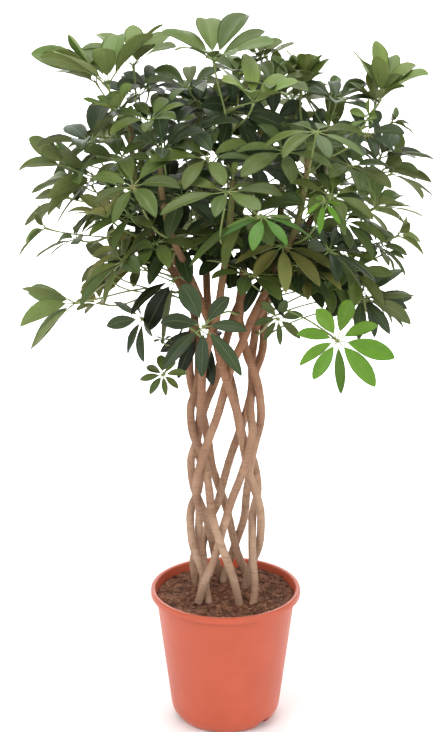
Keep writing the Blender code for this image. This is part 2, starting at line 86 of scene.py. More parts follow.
class Shape:
    """Gathers rings from many skins, then makes one object from all of them."""

    def __init__(self):
        self.points = []
        self.quads = []
        self.caps = []
        self.uv = []
        self.slots = []
        self.tints = []
        self.count = 0

    def add(self, rings, slots=0, tint=(0.5, 0.5, 0.5), across=None):
        """Adds K skins at once. rings is (K, R, S, 3), and slots is one number or one a side.

        The UV map runs from 0 to 1 along each skin, and round it as across says.
        """
        rings = np.asarray(rings, dtype=np.float64)
        many, along, sides = rings.shape[:3]
        self.points.append(rings.reshape(-1, 3))
        starts = self.count + np.arange(many) * along * sides
        base = skin_faces(along, sides)
        self.quads.append((base[None] + starts[:, None, None]).reshape(-1, 4))
        u = np.arange(sides + 1) / sides if across is None else np.asarray(across)
        v = np.linspace(0.0, 1.0, along)
        row = np.repeat(np.arange(along - 1), sides)
        side = np.tile(np.arange(sides), along - 1)
        corner_u = np.stack([u[side], u[side + 1], u[side + 1], u[side]], -1)
        corner_v = np.stack([v[row], v[row], v[row + 1], v[row + 1]], -1)
        self.uv.append(np.tile(np.stack([corner_u, corner_v], -1).reshape(-1, 2), (many, 1)))
        slots = np.broadcast_to(np.asarray(slots), (sides,))
        self.slots.append(np.tile(np.tile(slots, along - 1), many))
        tint = np.broadcast_to(np.asarray(tint, dtype=np.float64), (many, 3))
        self.tints.append(np.repeat(tint, along * sides, axis=0))
        ends = np.arange(sides)
        for start in starts:
            self.caps.append((start + ends[::-1], slots[0]))
            self.caps.append((start + (along - 1) * sides + ends, slots[0]))
        self.count += many * along * sides

    def make(self, name, materials, node=None, smooth=True):
        """Makes the piece and sets it on the frame's body. If node is given, that solid of the frame is
        hidden.
        """
        points = np.concatenate(self.points)
        quads = np.concatenate(self.quads)
        corners = [quads.reshape(-1)] + [cap for cap, _ in self.caps]
        totals = np.concatenate([np.full(len(quads), 4), [len(cap) for cap, _ in self.caps]])
        totals = totals.astype(np.int32)
        slots = np.concatenate([*self.slots, [number for _, number in self.caps]]).astype(np.int32)
        corners = np.concatenate(corners).astype(np.int32)
        mesh = bpy.data.meshes.new(name)
        mesh.vertices.add(len(points))
        mesh.vertices.foreach_set("co", points.astype(np.float32).reshape(-1))
        mesh.loops.add(len(corners))
        mesh.loops.foreach_set("vertex_index", corners)
        mesh.polygons.add(len(totals))
        starts = np.concatenate([[0], np.cumsum(totals)[:-1]]).astype(np.int32)
        mesh.polygons.foreach_set("loop_start", starts)
        mesh.polygons.foreach_set("loop_total", totals)
        mesh.polygons.foreach_set("material_index", slots)
        mesh.polygons.foreach_set("use_smooth", np.full(len(totals), smooth))
        mesh.update(calc_edges=True)
        layer = mesh.uv_layers.new(name="UVMap")
        uv = np.concatenate([*self.uv, np.zeros((len(corners) - 4 * len(quads), 2))])
        layer.data.foreach_set("uv", uv.astype(np.float32).reshape(-1))
        tint = mesh.color_attributes.new("tint", "FLOAT_COLOR", "POINT")
        colours = np.concatenate([np.concatenate(self.tints), np.ones((len(points), 1))], axis=1)
        tint.data.foreach_set("color", colours.astype(np.float32).reshape(-1))
        mesh.validate()
        for material in materials:
            mesh.materials.append(material)
        made = bpy.data.objects.new(name, mesh)
        scene.collection.objects.link(made)
        if node:
            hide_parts(node)
        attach(made, "root")
        print(name, len(points), "points")


def unit(vectors):
    """Vectors scaled to length one."""
    return vectors / np.maximum(np.linalg.norm(vectors, axis=-1, keepdims=True), 1e-12)


def tube_rings(paths, radii, sides):
    """Round outlines square to their paths: centre + radius times (cos a, sin a) in that plane."""
    along = unit(np.gradient(paths, axis=1))
    chord = unit(paths[:, -1] - paths[:, 0])
    least = np.eye(3)[np.argmin(np.abs(chord), axis=-1)][:, None, :]
    one = unit(np.cross(along, least))
    two = np.cross(along, one)
    angle = np.arange(sides) / sides * 2.0 * np.pi
    ring = one[:, :, None] * np.cos(angle)[:, None] + two[:, :, None] * np.sin(angle)[:, None]
    radii = np.asarray(radii)
    if radii.ndim == 2:
        radii = radii[:, :, None]
    return paths[:, :, None] + ring * radii[..., None]


# %% [markdown]
# ## Painting with nodes
# Each finish is worked out from the piece's own coordinates: patterns lie in the surface and
# stay with it. A short helper makes a node, sets its values and joins its links, so that each
# material below reads as a list of what it does.


# %% Node helpers
class Paint:
    """A material with a Principled shader and a short way of adding nodes to it."""

    def __init__(self, name, roughness, **values):
        self.material = bpy.data.materials.new(name)
        self.material.use_nodes = True
        self.tree = self.material.node_tree
        self.shader = self.tree.nodes["Principled BSDF"]
        self.shader.inputs["Roughness"].default_value = roughness
        for key, value in values.items():
            self.shader.inputs[key.replace("_", " ")].default_value = value

    def join(self, socket, value):
        if isinstance(value, bpy.types.NodeSocket):
            self.tree.links.new(value, socket)
        elif value is not None:
            socket.default_value = value

    def node(self, kind, inputs=(), out=0, **settings):
        made = self.tree.nodes.new("ShaderNode" + kind)
        for key, value in settings.items():
            setattr(made, key, value)
        for key, value in dict(inputs).items():
            self.join(made.inputs[key], value)
        return made.outputs[out]

    def place(self, scale=(1.0, 1.0, 1.0), source="Object"):
        """The piece's own coordinates, stretched along each axis."""
        coordinates = self.tree.nodes.new("ShaderNodeTexCoord").outputs[source]
        return self.node("Mapping", {"Vector": coordinates, "Scale": scale})

    def noise(self, vector, scale, detail=3.0, roughness=0.5):
        inputs = {"Vector": vector, "Scale": scale, "Detail": detail, "Roughness": roughness}
        return self.node("TexNoise", inputs)

    def ramp(self, factor, stops):
        """A colour ramp: stops are (place, colour)."""
        made = self.tree.nodes.new("ShaderNodeValToRGB")
        while len(made.color_ramp.elements) < len(stops):
            made.color_ramp.elements.new(0.5)
        for element, (place, colour) in zip(made.color_ramp.elements, stops):
            element.position = place
            element.color = (*colour, 1.0)
        self.join(made.inputs["Fac"], factor)
        return made.outputs["Color"]

    def grey(self, factor, low, high, first=0.0, last=1.0):
        """Maps a number from one range to another."""
        inputs = {"Value": factor, "From Min": first, "From Max": last, "To Min": low, "To Max": high}
        return self.node("MapRange", inputs)

    def maths(self, operation, one, two=None):
        made = self.tree.nodes.new("ShaderNodeMath")
        made.operation = operation
        self.join(made.inputs[0], one)
        self.join(made.inputs[1], two)
        return made.outputs[0]

    def plus(self, one, two):
        return self.maths("ADD", one, two)

    def minus(self, one, two):
        return self.maths("SUBTRACT", one, two)

    def times(self, one, two):
        return self.maths("MULTIPLY", one, two)

    def mix(self, factor, one, two, blend="MIX"):
        made = self.tree.nodes.new("ShaderNodeMix")
        made.data_type = "RGBA"
        made.blend_type = blend
        self.join(made.inputs["Factor"], factor)
        for socket, value in ((made.inputs[6], one), (made.inputs[7], two)):
            self.join(socket, (*value, 1.0) if isinstance(value, tuple) else value)
        return made.outputs[2]

    def colour(self, value):
        self.join(self.shader.inputs["Base Color"], value)

    def rough(self, value):
        self.join(self.shader.inputs["Roughness"], value)

    def bump(self, height, distance, strength=1.0):
        inputs = {"Height": height, "Distance": distance, "Strength": strength}
        self.join(self.shader.inputs["Normal"], self.node("Bump", inputs))


# %% [markdown]
# ## The pot
# The pot is injection-moulded plastic: a tapered wall of about 2 mm, a rim whose lip turns down
# over a narrow hollow, and a rounded foot with three drainage channels pressed up into it. It
# is a turned shape, so its surface is a profile carried round an axis. The channels are made
# in the same step, by lifting every point that lies inside a channel up to its ceiling.

# %% Pot shape
POT_HEIGHT = 0.250
RIM_RADIUS = 0.135
WALL_TOP = 0.1250
WALL_FOOT = 0.0990
CHANNEL_ANGLES = np.radians([-71.0, 49.0, 169.0])
CHANNEL_HALF = 0.0140
CHANNEL_START = 0.055
CHANNEL_CEILING = 0.0140
POT_WALL = 0.0020
POT_SIDES = 384
CORNER_RADIUS = 0.0010
INSIDE_FROM = 0.62  # past this share of its points, the profile runs down the inside of the pot


def rounded(points, radius, steps=4):
    """A profile with each inner corner replaced by a small curve (a quadratic Bezier)."""
    points = np.asarray(points, dtype=np.float64)
    out = [points[0]]
    for before, corner, after in zip(points, points[1:], points[2:]):
        one = before - corner
        two = after - corner
        cut = min(radius, 0.45 * np.linalg.norm(one), 0.45 * np.linalg.norm(two))
        start = corner + one / np.linalg.norm(one) * cut
        end = corner + two / np.linalg.norm(two) * cut
        t = np.linspace(0.0, 1.0, steps)[:, None]
        out.extend(start * (1 - t) ** 2 + corner * 2 * t * (1 - t) + end * t * t)
    out.append(points[-1])
    return np.array(out)


outline = [
    (0.0006, 0.0), (0.040, 0.0), (0.056, 0.0), (0.068, 0.0), (0.0812, 0.0), (0.0870, 0.0038),
    (0.0926, 0.0100), (0.0970, 0.0180), (WALL_FOOT, 0.0260), (0.1055, 0.0780), (0.1120, 0.1300),
    (0.1185, 0.1820), (WALL_TOP, 0.2340), (0.1271, 0.2458), (0.1330, 0.2458), (0.1332, 0.2386),
    (RIM_RADIUS, 0.2386), (RIM_RADIUS, 0.2464), (0.1339, POT_HEIGHT), (0.1290, POT_HEIGHT),
    (0.1268, 0.2488), (0.1232, 0.2340), (0.1166, 0.1820), (0.1101, 0.1300), (0.1036, 0.0780),
    (0.0971, 0.0280), (0.0950, 0.0190), (0.0903, 0.0116), (0.0846, 0.0063), (0.0790, 0.0024),
    (0.068, 0.0024), (0.056, 0.0024), (0.040, 0.0024), (0.0006, 0.0024),
]
profile = rounded(outline, CORNER_RADIUS)
angle = np.arange(POT_SIDES) / POT_SIDES * 2.0 * np.pi
radius = profile[:, 0][:, None] * np.ones(POT_SIDES)
height = profile[:, 1][:, None] * np.ones(POT_SIDES)
# The inside of the pot follows a channel one wall's thickness away from the outside.
wall = np.where(np.arange(len(profile)) > len(profile) * INSIDE_FROM, POT_WALL, 0.0)[:, None]
for channel in CHANNEL_ANGLES:
    # The front is -Y, and the channel angles count from the front towards +X.
    away = np.sin(channel) * np.cos(angle) - np.cos(channel) * np.sin(angle)
    across = np.cos(channel) * np.cos(angle) + np.sin(channel) * np.sin(angle)
    inside = (np.abs(radius * across) < CHANNEL_HALF + wall) & (radius * away > CHANNEL_START - wall)
    height = np.where(inside, np.maximum(height, CHANNEL_CEILING + wall), height)
pot_points = np.stack([radius * np.cos(angle), radius * np.sin(angle), height], -1)
print("pot profile of", len(profile), "points")

# %% [markdown]
# Moulded polypropylene is a satin plastic. It isn't one flat colour: the resin mottles a
# little, and fine scuffs run down the wall where pots were stacked, paler and duller than it.

# %% Pot plastic
plastic = Paint("terracotta_plastic", 0.38, Specular_IOR_Level=0.5)
where = plastic.place()
cloud = plastic.noise(where, 14.0, 3.0)
scuffs = plastic.noise(plastic.place((160.0, 160.0, 9.0)), 1.0, 4.0, 0.7)
base = plastic.ramp(cloud, [(0.30, (0.49, 0.081, 0.033)), (0.70, (0.55, 0.095, 0.041))])
marks = plastic.grey(scuffs, 0.0, 0.30, 0.60, 0.80)
base = plastic.mix(marks, base, (0.60, 0.17, 0.105))
plastic.colour(base)
plastic.rough(plastic.grey(scuffs, 0.32, 0.50, 0.3, 0.8))
grain = plastic.noise(where, 900.0, 2.0)
plastic.bump(plastic.plus(grain, plastic.times(cloud, 1.5)), 0.00012, 0.5)

# %% [markdown]
# The profile starts and ends beside the axis, and runs down the inside of the pot as well as up
# the outside. So turning it gives a wall of true thickness, and a tiny cap closes each end.

# %% Pot piece
shape = Shape()
shape.add(pot_points[None])
shape.make("nursery_pot", [plastic.material], "pot")

# %% [markdown]
# ## The stems
# Five stems climb one way round and five the other, and each passes outside one neighbour and
# inside the next. Twisting each stem evenly gives its turn. Where two meet, one swings out and
# the other in, by half a cosine between one meeting and the next. Above the lattice each stem
# bends out on a smooth curve through a few chosen places and becomes a shoot.

# %% Stem paths
LEFT_STARTS = (37.0, 140.0, 215.0, 265.0, 315.0)
RIGHT_STARTS = (60.0, 130.0, 205.0, 265.0, 320.0)
TWIST = 306.0
LATTICE_RADIUS = 0.0555
LATTICE_FLARE = 0.008
FLARE_FROM = 0.42
LATTICE_TOP = 0.525
WEAVE = 0.0078
BURIED = 0.068
SOIL_TOP = 0.2365
STEM_RADIUS = 0.0072
STEM_RINGS = 220
LEFT_SHOOTS = (
    ((-0.036, 0.090, 0.85), (-0.046, 0.132, 0.94), (-0.050, 0.150, 1.03), (-0.050, 0.155, 1.10)),
    ((0.080, 0.024, 0.84), (0.091, 0.006, 0.92), (0.094, -0.008, 0.99), (0.095, -0.012, 1.045)),
    ((0.080, -0.075, 0.85), (0.112, -0.108, 0.93), (0.126, -0.122, 1.00), (0.130, -0.126, 1.05)),
    ((-0.005, -0.095, 0.85), (0.003, -0.132, 0.92), (0.008, -0.148, 0.98), (0.010, -0.152, 1.02)),
    ((-0.088, -0.036, 0.84), (-0.126, -0.036, 0.91), (-0.150, -0.031, 1.00), (-0.158, -0.030, 1.09)),
)
RIGHT_SHOOTS = (
    ((-0.086, 0.050, 0.84), (-0.122, 0.068, 0.91), (-0.142, 0.076, 0.98), (-0.148, 0.078, 1.05)),
    ((0.036, 0.086, 0.85), (0.055, 0.130, 0.93), (0.060, 0.152, 1.01), (0.060, 0.158, 1.08)),
    ((0.108, 0.000, 0.85), (0.146, 0.004, 0.93), (0.164, 0.002, 1.01), (0.168, 0.000, 1.08)),
    ((0.030, -0.048, 0.85), (0.022, -0.030, 0.95), (0.002, -0.012, 1.05), (-0.010, -0.008, 1.13)),
    ((-0.062, -0.078, 0.85), (-0.088, -0.108, 0.92), (-0.102, -0.120, 0.98), (-0.106, -0.122, 1.04)),
)


def lattice_line(index, is_left, height):
    """Radius = lattice radius + flare +/- weave * (1.5 c - 0.5 c^3), where c = cos(pi * n).

    n counts the meetings with other stems up to this height, so c is +1 or -1 at a meeting.
    """
    others = RIGHT_STARTS if is_left else LEFT_STARTS
    found = []
    for other in range(len(others)):
        left, right = (index, other) if is_left else (other, index)
        for turn in (-1, 0, 1, 2):
            gap = LEFT_STARTS[left] - RIGHT_STARTS[right] + 360.0 * turn
            found.append((gap / (2.0 * TWIST), right - 5 * turn - left))
    found.sort()
    number = np.interp(height, [one for one, two in found], [two for one, two in found])
    swing = np.cos(np.pi * number)
    swing = swing * (1.5 - 0.5 * swing * swing)
    opened = np.maximum(0.0, (height - FLARE_FROM) / (LATTICE_TOP - FLARE_FROM))
    flare = LATTICE_FLARE * opened ** 2
    radius = LATTICE_RADIUS + flare + (WEAVE if is_left else -WEAVE) * swing
    start = LEFT_STARTS[index] if is_left else RIGHT_STARTS[index]
    turn = np.radians(start + (-TWIST if is_left else TWIST) * height)
    return np.stack([radius * np.cos(turn), -radius * np.sin(turn), SOIL_TOP + height], -1)


def smooth_line(points, steps):
    """A Catmull-Rom curve: each stretch is a cubic that leaves a point along its neighbours."""
    points = np.asarray(points, dtype=np.float64)
    ends = [2.0 * points[0] - points[1]], [2.0 * points[-1] - points[-2]]
    padded = np.concatenate([ends[0], points, ends[1]])
    a, b, c, d = padded[:-3, None], padded[1:-2, None], padded[2:-1, None], padded[3:, None]
    t = (np.arange(steps) / steps)[None, :, None]
    line = 0.5 * (2 * b + (c - a) * t + (2 * a - 5 * b + 4 * c - d) * t ** 2
                  + (3 * b - a - 3 * c + d) * t ** 3)
    return np.concatenate([line.reshape(-1, 3), points[-1:]])


def resample(line, count):
    """The same line with points evenly spaced along it."""
    travelled = np.concatenate([[0.0], np.cumsum(np.linalg.norm(np.diff(line, axis=0), axis=1))])
    wanted = np.linspace(0.0, travelled[-1], count)
    return np.stack([np.interp(wanted, travelled, line[:, k]) for k in range(3)], -1)


stem_lines = {}
for hand, is_left, shoots in (("l", True, LEFT_SHOOTS), ("r", False, RIGHT_SHOOTS)):
    for index in range(5):
        woven = lattice_line(index, is_left, np.linspace(-BURIED, LATTICE_TOP, 80))
        # The curve above starts with the lattice's last stretch, so that it leaves it smoothly.
        last = lattice_line(index, is_left, np.array([LATTICE_TOP * 15 / 16, LATTICE_TOP]))
        upper = smooth_line(np.concatenate([last, shoots[index]]), 12)[12:]
        line = np.concatenate([woven[:-1], upper])
        stem_lines[f"stem_{hand}{index + 1}"] = resample(line, STEM_RINGS)
print("stems are", round(float(np.ptp(stem_lines["stem_l1"][:, 2])), 3), "m tall")

# %% [markdown]
# The bark is thin and tan, ringed by old leaf scars and split by fine cracks. It is palest low
# in the lattice. Where the stems leave it and run under the crown it darkens to a deep warm
# brown, partly the bark's own colour and partly painted shade. It turns green on the youngest
# wood. The scars are real ridges. The cracks are too fine to model, so they are bump.

# %% Bark
bark = Paint("bark", 0.78, Specular_IOR_Level=0.25)
where = bark.place()
height = bark.node("SeparateXYZ", {"Vector": where}, out=2)
blotch = bark.noise(where, 34.0, 4.0, 0.6)
level = bark.plus(height, bark.times(bark.minus(blotch, 0.5), 0.10))
# The dark stops in the upper middle of this ramp, where the stems run under the crown, are partly painted
# shade.
tone = bark.ramp(bark.grey(level, 0.0, 1.0, 0.22, 1.12), [
    (0.00, (0.39, 0.250, 0.168)), (0.10, (0.45, 0.300, 0.205)), (0.34, (0.43, 0.262, 0.168)),
    (0.52, (0.31, 0.150, 0.082)), (0.66, (0.23, 0.110, 0.052)), (0.78, (0.12, 0.105, 0.034)),
    (0.92, (0.115, 0.175, 0.045)),
])
rings = bark.noise(bark.place((20.0, 20.0, 330.0)), 1.0, 4.0, 0.62)
streaks = bark.noise(bark.place((240.0, 240.0, 14.0)), 1.0, 4.0, 0.65)
cracks = bark.grey(rings, 0.0, 1.0, 0.50, 0.68)
cracks = bark.times(cracks, bark.grey(streaks, 0.2, 1.0, 0.35, 0.65))
stems_differ = bark.grey(bark.noise(where, 11.0, 1.0), 0.0, 0.60, 0.48, 0.62)
tone = bark.mix(stems_differ, tone, (0.255, 0.130, 0.078))
tone = bark.mix(bark.grey(streaks, 0.0, 0.45, 0.55, 0.72), tone, (0.20, 0.105, 0.060))
tone = bark.mix(bark.times(cracks, 0.55), tone, (0.10, 0.048, 0.028))
flecks = bark.grey(bark.noise(where, 260.0, 3.0, 0.7), 0.0, 0.55, 0.60, 0.76)
tone = bark.mix(flecks, tone, (0.60, 0.43, 0.29))
dirt = bark.grey(blotch, 0.0, 0.35, 0.58, 0.82)
bark.colour(bark.mix(dirt, tone, (0.17, 0.092, 0.056)))
relief = bark.minus(bark.times(streaks, 0.6), bark.times(cracks, 0.8))
bark.bump(bark.plus(relief, bark.times(blotch, 0.8)), 0.0009, 0.8)
bark.rough(bark.grey(blotch, 0.66, 0.88))

# %% [markdown]
# Each stem is a round tube along its line, thinner towards the tip. Two things keep it from
# looking like a pipe: thin raised rings where leaves once grew, and slow waves round and along
# it, which make it slightly knotty. Both only change the radius, so the skin stays closed.

# %% Stem pieces
STEM_SIDES = 28
SIZE_HEIGHTS = (0.0, 0.66, 0.80, 0.95, 1.10)
SIZE_FACTORS = (1.0, 1.03, 0.92, 0.76, 0.56)
SCAR_HEIGHT = 0.00035
SCAR_WIDTH = 0.0035
KNOT_SHARE = 0.012
rng = np.random.default_rng(11)
for name, line in stem_lines.items():
    size = STEM_RADIUS * np.interp(line[:, 2], SIZE_HEIGHTS, SIZE_FACTORS)
    travelled = np.linspace(0.0, 1.0, len(line))
    scars = np.zeros(len(line))
    for place in np.cumsum(rng.uniform(0.018, 0.045, 40)) ** 0.9:
        scars += SCAR_HEIGHT * np.exp(-(((travelled - place) / SCAR_WIDTH) ** 2))
    round_about = np.arange(STEM_SIDES) / STEM_SIDES * 2.0 * np.pi
    phase = rng.uniform(0.0, 6.28, 4)
    knots = (np.sin(round_about[None] * 2 + travelled[:, None] * 55 + phase[0])
             + np.sin(round_about[None] * 3 - travelled[:, None] * 83 + phase[1])
             + np.sin(travelled[:, None] * 140 + phase[2]) * 0.6)
    surface = size[:, None] * (0.975 + KNOT_SHARE * knots) + scars[:, None]
    surface[-2:] *= [[0.92], [0.55]]  # the tip is rounded off
    shape = Shape()
    shape.add(tube_rings(line[None], surface[None], STEM_SIDES))
    shape.make(name.replace("stem", "woven_stem"), [bark.material], name)

# %% [markdown]
# ## The soil
# The pot is filled with damp peat and coir, the brown fibre of coconut husk. Its surface is
# lumpy. The lumps are three layers of random hills, each layer over twice as fine as the one
# before and a little lower. The surface is a disc of rings, closed underneath by a few more.


# %% Soil surface
def hills(x, y, size, rng):
    """Smooth random hills from -1 to 1: corner heights on a grid, blended by 3t^2 - 2t^3."""
    grid = rng.uniform(-1.0, 1.0, (64, 64))
    column, across = np.divmod(x / size + 32.0, 1.0)
    line, up = np.divmod(y / size + 32.0, 1.0)
    column, line = column.astype(int), line.astype(int)
    across = across * across * (3.0 - 2.0 * across)
    up = up * up * (3.0 - 2.0 * up)
    low = grid[line, column] * (1 - across) + grid[line, column + 1] * across
    high = grid[line + 1, column] * (1 - across) + grid[line + 1, column + 1] * across
    return low * (1 - up) + high * up


HILL_LAYERS = ((0.0024, 0.034), (0.0022, 0.013), (0.0017, 0.0055))


def soil_height(x, y):
    """Soil top, plus the sum of height * hills for each layer of hills."""
    rng = np.random.default_rng(21)
    return SOIL_TOP + sum(height * hills(x, y, size, rng) for height, size in HILL_LAYERS)


SOIL_EDGE = 0.1230
SOIL_SKIRT = 0.0120
SOIL_MIDDLE = 0.0008
SOIL_SIDES = 180
reach = np.linspace(SOIL_MIDDLE, SOIL_EDGE, 56)
turn = np.arange(SOIL_SIDES) / SOIL_SIDES * 2.0 * np.pi
x = reach[:, None] * np.cos(turn)
y = reach[:, None] * np.sin(turn)
top = np.stack([x, y, soil_height(x, y)], -1)[::-1]
under_reach = np.array([SOIL_EDGE - 0.0010, 0.06, SOIL_MIDDLE])[:, None]
under = np.stack([under_reach * np.cos(turn), under_reach * np.sin(turn),
                  np.full((3, SOIL_SIDES), SOIL_TOP - SOIL_SKIRT)], -1)
soil_rings = np.concatenate([under[::-1], top])
print("soil surface is uneven by", round(float(np.ptp(top[..., 2])) * 1000, 1), "mm")

# %% [markdown]
# Damp peat is dark and dull, with paler fibres and near-black wet spots. Three noises at three
# scales paint it: coarse clods, stretched strands and fine grains. The same noises are its bump.

# %% Soil finish
peat = Paint("peat", 0.92, Specular_IOR_Level=0.2)
where = peat.place()
coarse = peat.noise(where, 90.0, 5.0, 0.7)
fine = peat.noise(where, 420.0, 4.0, 0.7)
strands = peat.noise(peat.place((900.0, 160.0, 300.0)), 1.0, 3.0, 0.7)
brown = peat.ramp(coarse, [(0.36, (0.030, 0.011, 0.007)), (0.50, (0.190, 0.076, 0.044)),
                           (0.62, (0.420, 0.200, 0.120))])
brown = peat.mix(peat.grey(strands, 0.0, 0.6, 0.54, 0.70), brown, (0.46, 0.27, 0.17))
brown = peat.mix(peat.grey(fine, 0.0, 0.7, 0.56, 0.72), brown, (0.030, 0.014, 0.010))
peat.colour(brown)
peat.rough(peat.grey(fine, 0.80, 1.0))
peat.bump(peat.plus(peat.times(coarse, 1.5), fine), 0.0040, 1.0)

shape = Shape()
shape.add(soil_rings[None])
shape.make("soil_surface", [peat.material], "soil")


# %% [markdown]
# Loose crumbs and short coir fibres lie on the soil. There are well over a thousand, so each is
# a tube of a few faces along a short crooked line: fat and short for a crumb, thin and long for
# a fibre. They are spread evenly by chance, and follow the hills of the surface.


# %% Crumbs and coir
def wandering_lines(starts, ways, lengths, steps, wander, rng):
    """Short crooked lines: each step turns a little at random from the one before."""
    many = len(starts)
    turns = rng.normal(0.0, wander, (many, steps - 1, 3)).cumsum(axis=1)
    moves = unit(ways[:, None] + turns) * (lengths / (steps - 1))[:, None, None]
    return np.concatenate([starts[:, None], starts[:, None] + moves.cumsum(axis=1)], axis=1)


def spots_on_soil(many, rng):
    """Even random places on the soil: reach is the edge times the root of a random number."""
    reach = (SOIL_EDGE - 0.006) * np.sqrt(rng.uniform(0.0, 1.0, many))
    turn = rng.uniform(0.0, 2.0 * np.pi, many)
    x, y = reach * np.cos(turn), reach * np.sin(turn)
    return np.stack([x, y, soil_height(x, y)], -1)


CRUMBS = 900
FIBRES = 560
rng = np.random.default_rng(31)
many = CRUMBS
starts = spots_on_soil(many, rng)
# Squaring the random number makes small crumbs common and big ones rare.
sizes = 0.0010 + 0.0034 * rng.uniform(0.0, 1.0, many) ** 2
ways = unit(rng.normal(size=(many, 3)) * (1.0, 1.0, 0.4))
starts = starts - ways * (sizes * 0.6)[:, None]
lines = wandering_lines(starts, ways, sizes * 1.3, 4, 0.2, rng)
radii = sizes[:, None] * np.array([0.35, 0.85, 0.80, 0.30]) * rng.uniform(0.45, 0.75, (many, 4))
crumbs = Shape()
crumbs.add(tube_rings(lines, radii, 5))
crumbs.make("soil_crumbs", [peat.material], smooth=False)

coir_paint = Paint("coir", 0.85, Specular_IOR_Level=0.2)
streak = coir_paint.noise(coir_paint.place((200.0, 200.0, 200.0)), 1.0, 3.0)
coir_paint.colour(coir_paint.ramp(streak, [
    (0.25, (0.10, 0.045, 0.025)), (0.50, (0.30, 0.165, 0.095)), (0.75, (0.45, 0.29, 0.18)),
]))
coir_paint.bump(streak, 0.0004, 0.6)
many = FIBRES
starts = spots_on_soil(many, rng) + (0.0, 0.0, 0.0006)
turn = rng.uniform(0.0, 2.0 * np.pi, many)
ways = np.stack([np.cos(turn), np.sin(turn), rng.uniform(-0.05, 0.22, many)], -1)
lengths = rng.uniform(0.004, 0.016, many)
lines = wandering_lines(starts, ways, lengths, 6, 0.16, rng)
# A fibre that would cross the pot's wall is pulled in, and none sinks into the soil.
reach = np.linalg.norm(lines[..., :2], axis=-1, keepdims=True)
lines[..., :2] *= np.minimum(1.0, (SOIL_EDGE - 0.002) / reach)
lines[..., 2] = np.maximum(lines[..., 2], soil_height(lines[..., 0], lines[..., 1]) - 0.0002)
radii = rng.uniform(0.00016, 0.00050, many)[:, None] * np.array([0.7, 1.0, 1.0, 1.0, 0.9, 0.5])
coir = Shape()
coir.add(tube_rings(lines, radii, 4))
coir.make("coir_fibres", [coir_paint.material])

# %% [markdown]
# ## The leaves
# A leaf is one stalk and a ring of leaflets. Each solid in the frame already holds where its
# leaflets lie, so the script reads them back: it merges the solid's corners, sets the hub
# aside, and what is left falls into separate islands. The biggest island is the stalk, and each
# other one is a leaflet, with its broadest place and its tip.

# %% Leaf table
# Hub of each leaf and its tone, in the order of the frame's leaves.
LEAVES = (
    (-0.192, -0.030, 1.155, "pale"), (-0.155, 0.050, 1.175, "pale"), (-0.222, -0.050, 1.060, "dark"),
    (-0.218, 0.000, 0.995, "mid"), (-0.192, -0.100, 0.948, "olive"), (-0.252, -0.020, 0.895, "mid"),
    (-0.258, 0.000, 0.778, "pale"), (-0.222, 0.080, 0.757, "olive"), (-0.142, -0.050, 0.764, "dark"),
    (-0.106, -0.080, 0.674, "mid"), (-0.037, -0.160, 0.780, "dark"), (0.086, -0.100, 0.777, "mid"),
    (0.178, -0.200, 0.768, "lime"), (0.231, -0.020, 0.796, "dark"), (0.260, 0.020, 0.874, "mid"),
    (0.246, -0.060, 0.956, "pale"), (0.262, 0.040, 1.022, "dark"), (0.227, -0.080, 1.080, "dark"),
    (0.256, 0.000, 1.127, "light"), (0.140, -0.180, 1.100, "mid"), (0.124, 0.000, 1.138, "mid"),
    (0.044, -0.100, 1.134, "light"), (0.000, 0.060, 1.112, "olive"), (-0.020, -0.020, 1.190, "fresh"),
    (-0.102, -0.100, 1.058, "dark"), (-0.148, -0.160, 1.010, "mid"), (0.000, -0.200, 1.009, "mid"),
    (0.055, -0.260, 0.982, "bright"), (0.166, -0.160, 0.995, "mid"), (0.123, -0.080, 0.857, "dark"),
    (-0.200, 0.140, 1.040, "mid"), (-0.112, 0.225, 1.045, "mid"), (0.085, 0.200, 1.095, "light"),
    (0.190, 0.140, 1.045, "mid"), (0.290, 0.120, 0.980, "mid"), (0.250, 0.220, 0.900, "mid"),
    (0.120, 0.290, 0.990, "mid"), (-0.020, 0.300, 1.040, "mid"), (-0.170, 0.270, 0.980, "dark"),
    (-0.280, 0.160, 0.930, "mid"), (-0.200, 0.200, 0.800, "dark"), (-0.050, 0.270, 0.840, "mid"),
    (0.090, 0.250, 0.800, "dark"), (0.200, 0.160, 0.770, "olive"), (0.020, 0.120, 1.125, "light"),
    (-0.110, 0.100, 1.080, "mid"), (0.110, 0.090, 1.110, "mid"), (-0.060, 0.160, 0.960, "dark"),
)
TONES = {
    # The two darkest tones are partly painted shade. The darkest is given only to leaves deep in the crown.
    # Dark green is some leaves' own colour, and is also given to leaves inside the crown as painted shade.
    "black": (0.012, 0.019, 0.009),
    "dark": (0.030, 0.050, 0.018),
    "mid": (0.078, 0.112, 0.025),
    "pale": (0.108, 0.158, 0.034),
    "light": (0.140, 0.200, 0.046),
    "fresh": (0.088, 0.138, 0.034),
    "olive": (0.165, 0.170, 0.048),
    "bright": (0.048, 0.130, 0.012),
    "lime": (0.092, 0.205, 0.014),
}
HUB_REACH = 0.0082


